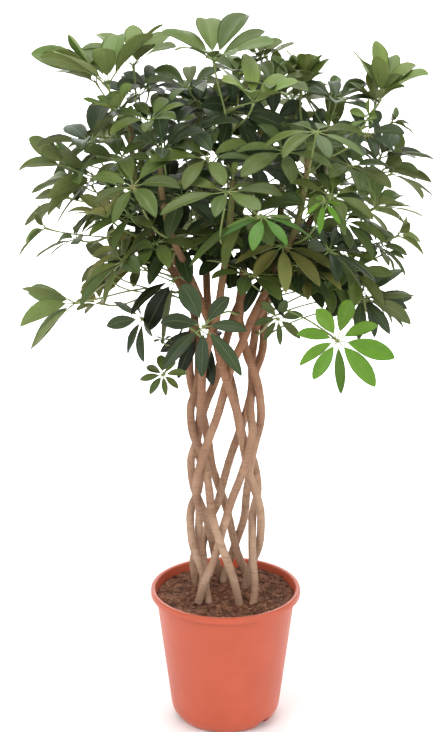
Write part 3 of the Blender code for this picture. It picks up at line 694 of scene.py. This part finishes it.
def islands(node, hub):
    """The solid's merged corners, split into groups joined by edges away from the hub."""
    mesh = nodes[node].data
    corners = np.empty(len(mesh.vertices) * 3, np.float32)
    mesh.vertices.foreach_get("co", corners)
    mesh.calc_loop_triangles()
    triangles = np.empty(len(mesh.loop_triangles) * 3, np.int32)
    mesh.loop_triangles.foreach_get("vertices", triangles)
    rounded_corners = np.round(corners.reshape(-1, 3).astype(np.float64), 5)
    points, merged = np.unique(rounded_corners, axis=0, return_inverse=True)
    triangles = merged.reshape(-1)[triangles].reshape(-1, 3)
    edges = np.concatenate([triangles[:, [0, 1]], triangles[:, [1, 2]], triangles[:, [2, 0]]])
    away = np.linalg.norm(points - hub, axis=1) > HUB_REACH
    edges = edges[away[edges].all(axis=1)]
    # Each corner takes the lowest number among its neighbours, until an island shares one.
    label = np.arange(len(points))
    for _ in range(40):
        low = np.minimum(label[edges[:, 0]], label[edges[:, 1]])
        np.minimum.at(label, edges[:, 0], low)
        np.minimum.at(label, edges[:, 1], low)
    return [points[away & (label == value)] for value in np.unique(label[away])]


def leaflet_facts(points, hub):
    """Left, right and tip of a leaflet, each the middle of a pair of corners.

    The two corners farthest from the hub are the tip, and the next four are its broadest place.
    """
    points = points[np.argsort(np.linalg.norm(points - hub, axis=1))]
    tip = points[-2:].mean(axis=0)
    wide = points[-6:-2]
    pair = np.argsort(np.linalg.norm(wide - wide[0], axis=1))
    left = wide[pair[:2]].mean(axis=0)
    right = wide[pair[2:]].mean(axis=0)
    return left, right, tip


def stalk_line(points, hub):
    """The stalk's centre line: its rings of four corners, taken in order from the hub."""
    points = points[np.argsort(np.linalg.norm(points - hub, axis=1))]
    rings = points[: len(points) // 4 * 4].reshape(-1, 4, 3).mean(axis=1)
    line = np.concatenate([[hub], rings])
    return smooth_line(line[::-1], 5)


def read_leaf(number):
    """(hub, leaflets, stalk) of one of the frame's leaves."""
    hub = np.array(LEAVES[number][:3])
    groups = islands(f"leaf_{number + 1:02d}", hub)
    groups.sort(key=len)
    leaflets = [leaflet_facts(group, hub) for group in groups[:-1] if len(group) >= 6]
    return hub, leaflets, stalk_line(groups[-1], hub)


hub, leaflets, stalk = read_leaf(0)
print("first leaf has", len(leaflets), "leaflets and a stalk of",
      round(float(np.linalg.norm(stalk[0] - stalk[-1])), 3), "m")

# %% [markdown]
# A leaflet is an oval blade on a thin stalk of its own. Its centre line is a parabola from the
# hub through its broadest place to its tip, its half-width follows s^0.95 (1 - s)^0.78, and it is
# folded up a little along the midrib, with an uneven edge. The blade is a very flat closed
# outline carried along that line, so it is a real solid with an upper and a lower face.

# %% Leaflet shape
ACROSS = np.array([-1.0, -0.78, -0.38, 0.0, 0.38, 0.78, 1.0])
SECTION = np.concatenate([ACROSS, ACROSS[-2:0:-1]])
IS_UNDER = np.arange(len(SECTION)) >= len(ACROSS) - 1
BLADE_U = (np.concatenate([SECTION, SECTION[:1]]) + 1.0) / 2.0
ALONG = np.array([0.0, 0.05, 0.14, 0.26, 0.40, 0.54, 0.68, 0.80, 0.90, 0.965, 1.0])
BLADE_THICKNESS = 0.0006
BLADE_START = 0.17
BROADEST = 0.6
TAPER = (0.95, 0.78)
PEAK = TAPER[0] ** TAPER[0] * TAPER[1] ** TAPER[1] / sum(TAPER) ** sum(TAPER)


def centre_lines(hubs, linear, bend, t):
    """Parabolas from the hubs: hub + linear * t + bend * t^2."""
    return hubs[:, None] + linear[:, None] * t[:, None] + bend[:, None] * t[:, None] ** 2


def blade_rings(hubs, lefts, rights, tips, ups, plump, rng):
    """Flat outlines for many leaflets at once, as (K, rings, corners, 3), and their parabolas.

    Height over the blade's plane = width * (fold |x| + curl x^2 + wave x |x| sin(11 s) + twist x s),
    where x runs across the blade from -1 to 1 and s along it from 0 to 1.
    """
    many = len(hubs)
    # No two leaflets are alike: each is a little shorter or longer and leans its own way.
    grown = rng.uniform(0.86, 1.05, (many, 1))
    sway = rng.normal(0.0, 0.045, (many, 3)) * np.linalg.norm(tips - hubs, axis=1)[:, None]
    lefts, rights = (hubs + (side - hubs) * grown + 0.5 * sway for side in (lefts, rights))
    tips = hubs + (tips - hubs) * grown + sway
    middle = (lefts + rights) / 2.0 - hubs
    whole = tips - hubs
    linear = (middle - BROADEST ** 2 * whole) / (BROADEST - BROADEST ** 2)
    bend = whole - linear
    line = centre_lines(hubs, linear, bend, BLADE_START + (1.0 - BLADE_START) * ALONG)
    length = np.linalg.norm(whole, axis=1)
    sag = rng.uniform(0.01, 0.17, many) * length
    line[..., 2] -= sag[:, None] * ALONG ** 3
    along = unit(np.gradient(line, axis=1))
    across = unit(rights - lefts)[:, None]
    normal = np.cross(along, across)
    flip = np.sign((normal[:, 5] * ups).sum(axis=-1))
    normal = normal * flip[:, None, None]
    across = np.cross(along, normal)
    half = np.linalg.norm(rights - lefts, axis=1) / 2.0 * plump * rng.uniform(0.76, 1.02, many)
    shape = ALONG ** TAPER[0] * (1.0 - ALONG) ** TAPER[1] / PEAK
    width = half[:, None] * shape + 0.0004
    fold = rng.uniform(0.12, 0.60, many)[:, None, None]
    curl = rng.uniform(-0.20, 0.05, many)[:, None, None]
    wave = rng.uniform(0.0, 0.07, many)[:, None, None]
    phase = rng.uniform(0.0, 6.28, many)[:, None, None]
    twist = rng.uniform(-0.45, 0.45, many)[:, None, None]
    x, s = SECTION[None, None, :], ALONG[None, :, None]
    rise = fold * np.abs(x) + curl * x ** 2
    rise = rise + wave * x * np.abs(x) * np.sin(s * 11.0 + phase)
    # The upper and lower faces lie half a thickness apart from the middle, and meet at the edge.
    thick = BLADE_THICKNESS / 2.0 * (1.0 - x ** 4) / np.maximum(width, BLADE_THICKNESS)[..., None]
    rise = rise + np.where(IS_UNDER, -1.0, 1.0) * thick
    rise = rise + twist * s * x
    rings = (line[:, :, None] + across[:, :, None] * (x * width[..., None])[..., None]
             + normal[:, :, None] * (rise * width[..., None])[..., None])
    return rings, linear, bend


def leaflet_stalks(hubs, linear, bend, radius):
    """Thin tubes from just inside the hub to where each blade starts."""
    lines = centre_lines(hubs, linear, bend, np.linspace(0.01, BLADE_START + 0.05, 5))
    radii = np.linspace(1.15, 0.8, 5)[None] * radius * np.ones((len(hubs), 1))
    return tube_rings(lines, radii, 6)


# %% [markdown]
# The upper face of a leaflet is glossy, with a pale midrib and side veins that leave it at an
# angle. The lower face is matt and paler. Both read the colour that each leaflet carries, so
# one pair of materials serves the whole plant, and no two leaflets are quite alike.


# %% Leaf materials
def leaf_paint(name, under):
    """The material of a leaflet's lower or upper face."""
    paint = Paint(name, 0.34, Specular_IOR_Level=0.20 if under else 0.27)
    tint = paint.node("VertexColor", layer_name="tint")
    uv = paint.place(source="UV")
    # Across a blade u runs from 0 at one edge, through 0.5 at the midrib, to 1 at the other.
    u, v = (paint.node("SeparateXYZ", {"Vector": uv}, out=axis) for axis in (0, 1))
    out = paint.times(paint.maths("ABSOLUTE", paint.minus(u, 0.5)), 2.0)
    midrib = paint.grey(out, 1.0, 0.0, 0.015, 0.065)
    slant = paint.minus(paint.times(v, 13.0), paint.times(out, 3.2))
    saw = paint.maths("ABSOLUTE", paint.minus(paint.maths("FRACT", slant), 0.5))
    veins = paint.grey(saw, 1.0, 0.0, 0.0, 0.12)
    where = paint.place()
    cloud = paint.noise(where, 38.0, 3.0, 0.6)
    fine = paint.noise(where, 420.0, 3.0, 0.6)
    if under:
        base = paint.mix(0.42, paint.mix(1.0, tint, (1.35, 1.30, 1.40), "MULTIPLY"), (0.235, 0.265, 0.100))
        rib, vein = (0.30, 0.33, 0.14), (0.25, 0.28, 0.11)
    else:
        base = tint
        rib, vein = (0.20, 0.27, 0.09), (0.12, 0.17, 0.055)
    shade = paint.mix(1.0, base, (0.50, 0.60, 0.45), "MULTIPLY")
    base = paint.mix(paint.grey(cloud, 0.0, 0.42, 0.35, 0.75), base, shade)
    base = paint.mix(paint.times(veins, 0.14), base, vein)
    base = paint.mix(paint.times(midrib, 0.38), base, rib)
    edge = paint.grey(out, 0.0, 0.35, 0.90, 1.0)
    base = paint.mix(edge, base, (0.17, 0.20, 0.07))
    speck = paint.grey(fine, 0.0, 0.20, 0.62, 0.78)
    base = paint.mix(speck, base, (0.16, 0.19, 0.08))
    paint.colour(base)
    if under:
        paint.rough(paint.grey(fine, 0.52, 0.70))
    else:
        paint.rough(paint.grey(cloud, 0.30, 0.48))
    # The midrib and veins are grooves on the upper face and ridges on the lower one.
    rib_height, vein_height = (1.4, 0.4) if under else (-1.0, -0.35)
    ridge = paint.plus(paint.times(midrib, rib_height), paint.times(veins, vein_height))
    relief = paint.plus(ridge, paint.times(fine, 0.35))
    paint.bump(paint.plus(relief, paint.times(cloud, 0.9)), 0.0005, 0.6)
    return paint.material


leaf_top = leaf_paint("leaf_upper_face", False)
leaf_under = leaf_paint("leaf_lower_face", True)

stalk_paint = Paint("leaf_stalk", 0.42, Specular_IOR_Level=0.4)
patch = stalk_paint.noise(stalk_paint.place(), 45.0, 3.0)
fibres = stalk_paint.noise(stalk_paint.place((300.0, 300.0, 20.0)), 1.0, 3.0)
green = stalk_paint.ramp(patch, [
    (0.30, (0.145, 0.215, 0.060)), (0.55, (0.215, 0.285, 0.085)), (0.78, (0.300, 0.230, 0.095)),
])
pale = stalk_paint.grey(fibres, 0.0, 0.35, 0.5, 0.8)
stalk_paint.colour(stalk_paint.mix(pale, green, (0.34, 0.38, 0.16)))
stalk_paint.rough(stalk_paint.grey(patch, 0.36, 0.55))
stalk_paint.bump(fibres, 0.0003, 0.5)
leaf_materials = [leaf_top, leaf_under, stalk_paint.material]
SECTION_SLOTS = IS_UNDER.astype(int)


# %% [markdown]
# Each solid leaf of the frame gets a fine one in its place. All the leaflets of a leaf are made
# in one call, and each takes a colour of its own near the leaf's tone. The long stalk swells at
# both ends, where it joins the shoot and where it carries the leaflets.


# %% Leaf pieces
STALK_RINGS = 18
STALK_PLACES = (0.0, 0.06, 0.5, 0.92, 1.0)
STALK_SIZES = (1.5, 1.05, 0.85, 0.9, 1.6)


def add_leaf(shape, hub, leaflets, stalk, tone, rng, stalk_radius=0.0019):
    """Adds one leaf's blades, their small stalks and the long stalk to a shape."""
    many = len(leaflets)
    lefts, rights, tips = (np.array([facts[k] for facts in leaflets]) for k in range(3))
    hubs = np.repeat(hub[None], many, axis=0)
    up = unit(hub - stalk[-6])
    plump = 1.04 if tone == "lime" else 1.12
    blades, linear, bend = blade_rings(hubs, lefts, rights, tips, up, plump, rng)
    # Light and dark leaflets, some warmer and some cooler.
    base = np.array(TONES[tone])
    light = rng.uniform(0.72, 1.35, (many, 1))
    warm = rng.uniform(-0.10, 0.16, (many, 1)) * np.array([1.0, 0.25, -0.4])
    tints = np.clip(base * light * (1.0 + warm), 0.003, 0.9)
    shape.add(blades, SECTION_SLOTS, tints, BLADE_U)
    shape.add(leaflet_stalks(hubs, linear, bend, 0.0009), 2, base)
    size = np.interp(np.linspace(0.0, 1.0, STALK_RINGS), STALK_PLACES, STALK_SIZES)
    line = resample(stalk, STALK_RINGS)
    shape.add(tube_rings(line[None], (size * stalk_radius)[None], 8), 2, base)


rng = np.random.default_rng(5)
for number, (*_, tone) in enumerate(LEAVES):
    hub, leaflets, stalk = read_leaf(number)
    if tone == "lime":
        # The young leaf is lopsided: the nearer a leaflet is to +X, the more it has grown.
        more = [1.0 + 0.24 * min(max((tip[0] - hub[0]) / 0.05, 0.0), 1.0) for _, _, tip in leaflets]
        leaflets = [tuple(hub + (spot - hub) * k for spot in facts) for facts, k in zip(leaflets, more)]
    shape = Shape()
    add_leaf(shape, hub, leaflets, stalk, tone, rng)
    node = f"leaf_{number + 1:02d}"
    shape.make("umbrella_" + node, leaf_materials, node)

# %% [markdown]
# ## Filling the crown
# A real crown of this kind holds well over a hundred leaves. The frame holds the ones that give
# it its outline, and the rest are grown here by the same rule: from a hub, each leaflet leans
# away from the stalk's line by the same angle, evenly spread round it. The leaves listed here
# fill places where one is plainly seen, and young lime ones stand near the shoots.

# %% Leaves given one by one
# Leaves by tone: hub, the way the stalk points (turn, rise), opening, leaflet length, count and
# first turn. Turns count from +X towards the front.
HAND_LEAVES = {
    # Leaves deep in the crown, given the darkest tone as painted shade.
    "black": (
        (-0.045, -0.010, 0.735, 95, -20, 50, 0.085, 6, 20),
        (-0.085, -0.085, 0.842, 150, -45, 30, 0.092, 3, 0), (-0.100, 0.005, 0.965, 100, 50, 74, 0.088, 7, 0),
        (-0.050, 0.015, 0.930, 80, 55, 80, 0.090, 7, 25), (0.060, 0.020, 0.880, 85, 70, 92, 0.086, 8, 0),
    ),
    "dark": (
        (-0.149, 0.100, 1.118, 120, 70, 55, 0.075, 7, 0), (-0.080, -0.050, 0.900, 110, 45, 78, 0.080, 7, 0),
        (0.007, -0.030, 0.880, 90, 55, 84, 0.080, 8, 0), (-0.015, 0.030, 1.095, 80, 65, 62, 0.092, 7, 0),
        (0.012, 0.010, 1.105, 60, 20, 60, 0.098, 6, 10), (0.080, 0.030, 1.085, 80, 30, 66, 0.078, 7, 0),
        (0.140, 0.010, 1.060, 60, 40, 70, 0.080, 7, 15), (-0.130, 0.030, 0.895, 120, 40, 76, 0.080, 7, 10),
        (0.045, -0.060, 0.925, 85, 75, 94, 0.086, 9, 0), (0.135, -0.050, 0.905, 70, 75, 94, 0.084, 9, 0),
        (-0.070, -0.110, 0.985, 95, 65, 82, 0.088, 7, 15), (0.180, -0.030, 1.125, 50, 70, 62, 0.078, 7, 25),
        (-0.130, 0.060, 1.135, 90, 70, 60, 0.066, 7, 0), (-0.128, 0.050, 1.075, 120, 70, 65, 0.075, 7, 0),
        (-0.043, 0.020, 1.112, 90, 70, 70, 0.085, 7, 0), (0.238, 0.040, 0.800, 40, -10, 60, 0.085, 6, 0),
        (0.235, -0.020, 0.792, 5, -2, 24, 0.088, 4, 20),
    ),
    "light": (
        (0.228, -0.100, 1.108, 150, 30, 60, 0.044, 5, 0), (0.130, 0.030, 1.148, 60, 82, 22, 0.082, 5, 0),
        (0.085, 0.050, 1.148, 90, 85, 25, 0.068, 4, 0),
    ),
    "lime": (
        (0.150, -0.230, 1.000, 95, -25, 58, 0.038, 5, 20), (-0.275, 0.000, 1.040, 170, 50, 60, 0.026, 4, 0),
    ),
    "mid": (
        (0.262, 0.100, 0.765, 350, 20, 70, 0.056, 6, 10), (0.030, -0.140, 0.955, 150, 55, 82, 0.110, 7, 10),
        (-0.106, -0.060, 0.730, 90, 80, 70, 0.020, 6, 0), (0.170, -0.050, 0.830, 60, 45, 80, 0.070, 7, 0),
        (0.196, -0.010, 0.925, 40, 55, 80, 0.080, 8, 0), (0.200, -0.090, 1.030, 50, 62, 74, 0.086, 7, 0),
        (-0.030, -0.130, 1.050, 95, 65, 78, 0.092, 7, 0), (0.095, -0.130, 1.060, 80, 68, 76, 0.092, 7, 20),
        (-0.120, -0.090, 1.105, 120, 68, 66, 0.078, 7, 0), (-0.060, 0.020, 1.140, 100, 75, 62, 0.086, 7, 10),
        (0.075, -0.040, 1.150, 70, 75, 60, 0.080, 7, 0), (-0.075, 0.060, 1.118, 100, 70, 62, 0.060, 7, 0),
        (0.020, 0.050, 1.160, 90, 80, 55, 0.072, 7, 10), (0.245, -0.020, 1.122, 110, 75, 42, 0.074, 6, 20),
        (0.274, 0.020, 0.863, 20, 40, 75, 0.050, 6, 0), (0.200, -0.030, 0.868, 60, 55, 80, 0.075, 7, 0),
        (-0.156, -0.100, 0.951, 130, 60, 75, 0.080, 7, 0), (-0.253, 0.000, 0.995, 165, 60, 70, 0.075, 7, 20),
        (0.279, 0.030, 1.084, 10, 45, 60, 0.046, 6, 0), (0.061, 0.100, 1.180, 80, 80, 50, 0.070, 7, 0),
        (-0.215, 0.020, 1.150, 160, 62, 34, 0.085, 5, 15), (-0.262, -0.030, 1.020, 168, 35, 30, 0.088, 5, 0),
        (0.262, 0.020, 1.000, 15, 40, 34, 0.070, 5, 10), (0.215, -0.020, 0.840, 60, 30, 70, 0.075, 7, 0),
    ),
    "olive": (
        (0.113, 0.050, 1.072, 80, 60, 76, 0.060, 7, 0), (-0.175, -0.030, 0.870, 150, 55, 74, 0.066, 7, 0),
        (-0.150, 0.050, 0.835, 140, 50, 70, 0.062, 7, 20), (-0.190, -0.070, 0.835, 160, 50, 66, 0.052, 7, 0),
        (0.092, -0.120, 0.905, 85, 72, 96, 0.080, 9, 15), (-0.194, 0.000, 0.833, 160, 50, 70, 0.056, 7, 0),
        (0.123, -0.060, 0.865, 90, 70, 90, 0.080, 8, 10), (-0.177, -0.050, 0.883, 140, 40, 75, 0.060, 7, 0),
    ),
    "pale": (
        (-0.173, -0.100, 1.118, 150, 70, 40, 0.066, 7, 0), (0.173, 0.020, 1.122, 60, 75, 60, 0.075, 7, 10),
        (0.291, 0.000, 0.896, 5, 30, 55, 0.060, 6, 0), (-0.308, 0.020, 0.905, 175, 20, 60, 0.055, 6, 10),
        (-0.209, -0.030, 1.165, 165, 42, 20, 0.132, 3, 0),
    ),
}


HALF_WIDTH = 0.16
DROOP = 0.16


def grow_leaflets(row):
    """Leaflets of a leaf: a tip is at hub + length * (axis cos b + out sin b), then droops."""
    hub = np.array(row[:3])
    turn, rise, opening, first = np.radians([*row[3:6], row[8]])
    length, count = row[6:8]
    axis = np.array([np.cos(rise) * np.cos(turn), -np.cos(rise) * np.sin(turn), np.sin(rise)])
    side = unit(np.cross(axis, (0.0, 0.0, 1.0)))
    up = np.cross(side, axis)
    leaflets = []
    for spread in first + np.arange(count) / count * 2.0 * np.pi:
        out = up * np.cos(spread) + side * np.sin(spread)
        along = axis * np.cos(opening) + out * np.sin(opening)
        normal = axis * np.sin(opening) - out * np.cos(opening)
        half = np.cross(along, normal) * HALF_WIDTH * length
        wide = hub + along * BROADEST * length - (0.0, 0.0, DROOP * BROADEST ** 2 * length)
        tip = hub + along * length - (0.0, 0.0, DROOP * length)
        leaflets.append((wide - half, wide + half, tip))
    return hub, leaflets, axis


SHOOTS_FROM = 0.70


def grow_stalk(hub, axis):
    """A stalk from the nearest shoot: a cubic Bezier that leaves outwards and ends along axis."""
    # The best place on a shoot is near the hub, and about 5 cm below it.
    points = np.concatenate([line[:-3][line[:-3, 2] > SHOOTS_FROM] for line in stem_lines.values()])
    cost = np.linalg.norm(points - hub, axis=1) + 0.9 * np.abs(hub[2] - points[:, 2] - 0.05)
    start = points[np.argmin(cost)]
    reach = np.linalg.norm(hub - start)
    away = unit(hub - start + (0.0, 0.0, 0.3 * reach))
    t = np.linspace(0.0, 1.0, 16)[:, None]
    one = start + away * 0.35 * reach
    two = hub - axis * 0.30 * reach
    return start * (1 - t) ** 3 + one * 3 * t * (1 - t) ** 2 + two * 3 * t * t * (1 - t) + hub * t ** 3


# %% [markdown]
# The rest are placed by chance, with a fixed seed so that every run gives the same plant. Each
# grows from a random place on a shoot, mostly outwards. It is kept if it lies inside the
# crown's outline, not at its very front and not too near another leaf's hub. Leaves deep inside
# the crown are given the darker tones, as painted shade.

# %% Leaves placed by chance
MOST_BY_CHANCE = 44
CROWN_FOOT = 0.74
CROWN_HEIGHT = 0.44
CROWN_WAIST = 0.11
CROWN_BULGE = 0.185
FRONT_LIMIT = -0.12
HUBS_APART = 0.058
INSIDE = 0.13
rng = np.random.default_rng(77)
crown = {tone: list(rows) for tone, rows in HAND_LEAVES.items()}
by_hand = sum(HAND_LEAVES.values(), ())
taken = [np.array(row[:3]) for row in (*LEAVES, *by_hand)]
names = sorted(stem_lines)
for _ in range(900):
    line = stem_lines[names[rng.integers(len(names))]]
    start = line[rng.integers(int(len(line) * 0.72), len(line) - 2)]
    outward = np.degrees(np.arctan2(0.02 - start[1], start[0])) + rng.normal(0.0, 55.0)
    reach = rng.uniform(0.05, 0.15)
    lift = rng.uniform(0.0, 0.9)
    hub = start + reach * np.array([np.cos(np.radians(outward)), -np.sin(np.radians(outward)), lift])
    height = (hub[2] - CROWN_FOOT) / CROWN_HEIGHT
    spread = np.hypot(hub[0], hub[1] - 0.03)
    widest = CROWN_WAIST + CROWN_BULGE * np.sin(np.pi * min(height + 0.12, 1.0))
    if not 0.0 < height < 1.0 or spread > widest or hub[1] < FRONT_LIMIT:
        continue
    if min(np.linalg.norm(hub - other) for other in taken) < HUBS_APART:
        continue
    if len(taken) == len(LEAVES) + len(by_hand) + MOST_BY_CHANCE:
        break
    taken.append(hub)
    # Leaves near the middle of the crown take the darker tones: painted shade.
    tone = (("black", "dark", "dark") if spread < INSIDE else ("dark", "mid", "mid"))[rng.integers(3)]
    crown[tone].append((*hub, outward, rng.uniform(45, 75), rng.uniform(66, 92),
                        rng.uniform(0.066, 0.100), int(rng.integers(7, 9)), rng.uniform(0, 50)))
print(len(by_hand), "leaves by hand and", len(taken) - len(LEAVES) - len(by_hand), "by chance")

# %% [markdown]
# The extra leaves have no solid of their own in the frame. They are gathered into a few pieces
# by tone, up to twelve leaves in each, which keeps the list of pieces short.

# %% Extra leaf pieces
A_PIECE = 12
rng = np.random.default_rng(8)
for tone in sorted(crown):
    for part in range(0, len(crown[tone]), A_PIECE):
        shape = Shape()
        for row in crown[tone][part:part + A_PIECE]:
            hub, leaflets, axis = grow_leaflets(row)
            add_leaf(shape, hub, leaflets, grow_stalk(hub, axis), tone, rng, 0.0016)
        shape.make(f"crown_leaves_{tone}_{part // A_PIECE + 1}", leaf_materials)

# %% [markdown]
# ## Shoot tips
# All the shoots but one end in a tuft of folded young leaves. A tuft is a very small leaf whose
# leaflets point nearly straight up, so its row reads like those of the leaves listed above.

# %% Shoot tips
BARE_SHOOT = "stem_l2"
shape = Shape()
for number, name in enumerate(names):
    if name == BARE_SHOOT:
        continue
    tip = stem_lines[name][-1]
    way = unit(tip - stem_lines[name][-8])
    turn = np.degrees(np.arctan2(-way[1], way[0]))
    row = (*(tip + way * 0.004), turn, 72.0, 26.0, 0.034, 4, 20.0 + 10 * number)
    hub, leaflets, axis = grow_leaflets(row)
    add_leaf(shape, hub, leaflets, np.linspace(tip - way * 0.01, hub, 16), "light", rng, 0.0022)
shape.make("shoot_tip_tufts", leaf_materials)

# %% [markdown]
# A few dry rootlets and bark fibres hang off the lattice and stick out of the soil near the
# rim. They are crooked tubes like the coir. Those on the stems are given one by one, each by its
# stem, how far up that stem it starts, the way it points and its length.

# %% Dry rootlets
hair_paint = Paint("dry_rootlet", 0.8, Specular_IOR_Level=0.2)
fleck = hair_paint.noise(hair_paint.place((150.0, 150.0, 150.0)), 1.0, 3.0)
hair_paint.colour(hair_paint.ramp(fleck, [(0.3, (0.045, 0.028, 0.018)), (0.7, (0.19, 0.125, 0.08))]))
hair_paint.bump(fleck, 0.0003, 0.5)
STEM_HAIRS = (
    ("stem_l2", 0.20, (-0.8, -0.5, 0.1), 0.050), ("stem_r2", 0.16, (-0.9, -0.2, -0.6), 0.070),
    ("stem_l4", 0.30, (-1.0, -0.2, 0.1), 0.034), ("stem_r4", 0.26, (0.8, -0.3, 0.3), 0.040),
    ("stem_l1", 0.13, (0.9, -0.2, 0.5), 0.050), ("stem_r3", 0.42, (0.1, -0.8, -0.7), 0.045),
    ("stem_l3", 0.12, (0.5, -0.3, 0.6), 0.036), ("stem_r5", 0.14, (-0.3, -0.8, 0.2), 0.030),
)
SOIL_HAIRS = 26
starts = [stem_lines[name][int(place * STEM_RINGS)] for name, place, _, _ in STEM_HAIRS]
ways = [way for _, _, way, _ in STEM_HAIRS]
lengths = [length for *_, length in STEM_HAIRS]
rng = np.random.default_rng(40)
for turn in np.radians(rng.uniform(0.0, 360.0, SOIL_HAIRS)):
    reach = rng.uniform(0.085, 0.115)
    x, y = reach * np.cos(turn), reach * np.sin(turn)
    starts.append((x, y, float(soil_height(np.array(x), np.array(y)))))
    ways.append((np.cos(turn) * 0.5, np.sin(turn) * 0.5, rng.uniform(0.3, 1.0)))
    lengths.append(rng.uniform(0.010, 0.026))
lines = wandering_lines(np.array(starts), unit(np.array(ways)), np.array(lengths), 12, 0.14, rng)
radii = np.linspace(1.0, 0.4, 12)[None] * rng.uniform(0.00025, 0.00042, (len(lines), 1))
shape = Shape()
shape.add(tube_rings(lines, radii, 5))
shape.make("dry_rootlets", [hair_paint.material])

# %% [markdown]
# ## Floor and lights
# The sweep is a flat floor that bends up far behind the plant, in a quarter circle. Two wide
# soft lights stand left and right of the camera and a larger one hangs above. A fourth lights
# only the paper behind, so that it stays white, and the world adds an even white.

# %% Sweep and lights
SWEEP_FRONT = -14.0
SWEEP_BEND = 8.0
SWEEP_RADIUS = 2.5
SWEEP_HEIGHT = 12.0
SWEEP_HALF = 16.0
bend = np.linspace(0.1, 1.57, 12)
sweep_y = np.concatenate([np.linspace(SWEEP_FRONT, SWEEP_BEND, 12),
                          SWEEP_BEND + SWEEP_RADIUS * np.sin(bend), [SWEEP_BEND + SWEEP_RADIUS]])
sweep_z = np.concatenate([np.zeros(12), SWEEP_RADIUS - SWEEP_RADIUS * np.cos(bend), [SWEEP_HEIGHT]])
sweep_x = np.linspace(-SWEEP_HALF, SWEEP_HALF, 8)
sweep = np.stack([np.repeat(sweep_x[None], len(sweep_y), 0), np.repeat(sweep_y[:, None], 8, 1),
                  np.repeat(sweep_z[:, None], 8, 1)], -1)
rows, columns = sweep.shape[:2]
corner = np.arange(rows - 1)[:, None] * columns + np.arange(columns - 1)[None]
quads = np.stack([corner, corner + 1, corner + columns + 1, corner + columns], -1).reshape(-1, 4)
mesh = bpy.data.meshes.new("sweep")
mesh.from_pydata(sweep.reshape(-1, 3).tolist(), [], quads.tolist())
mesh.polygons.foreach_set("use_smooth", [True] * len(mesh.polygons))
floor = bpy.data.objects.new("sweep", mesh)
scene.collection.objects.link(floor)
paper = Paint("white_paper", 0.9, Specular_IOR_Level=0.1)
mottle = paper.noise(paper.place(), 3.0)
paper.colour(paper.ramp(mottle, [(0.0, (0.93, 0.93, 0.93)), (1.0, (0.97, 0.97, 0.97))]))
mesh.materials.append(paper.material)

world = bpy.data.worlds.new("studio")
scene.world = world
world.use_nodes = True
background = world.node_tree.nodes["Background"]
background.inputs["Color"].default_value = (1.0, 1.0, 1.0, 1.0)
background.inputs["Strength"].default_value = 0.62


def soft_light(name, place, aim, size, power):
    """A square area light that faces a point."""
    light = bpy.data.lights.new(name, "AREA")
    light.shape = "SQUARE"
    light.size = size
    light.energy = power
    made = bpy.data.objects.new(name, light)
    made.location = place
    way = np.array(aim) - np.array(place)
    tilt = math.atan2(math.hypot(way[0], way[1]), -way[2])
    made.rotation_euler = (tilt, 0.0, math.atan2(-way[0], way[1]))
    scene.collection.objects.link(made)


soft_light("key", (-2.2, -2.6, 2.9), (0.0, 0.0, 0.8), 2.2, 78.0)
soft_light("fill", (2.6, -2.2, 1.9), (0.0, 0.0, 0.7), 2.4, 48.0)
soft_light("top", (0.0, 0.4, 3.6), (0.0, 0.0, 0.9), 2.6, 66.0)
soft_light("backdrop", (0.0, 4.2, 5.6), (0.0, 9.4, 1.2), 5.0, 1100.0)
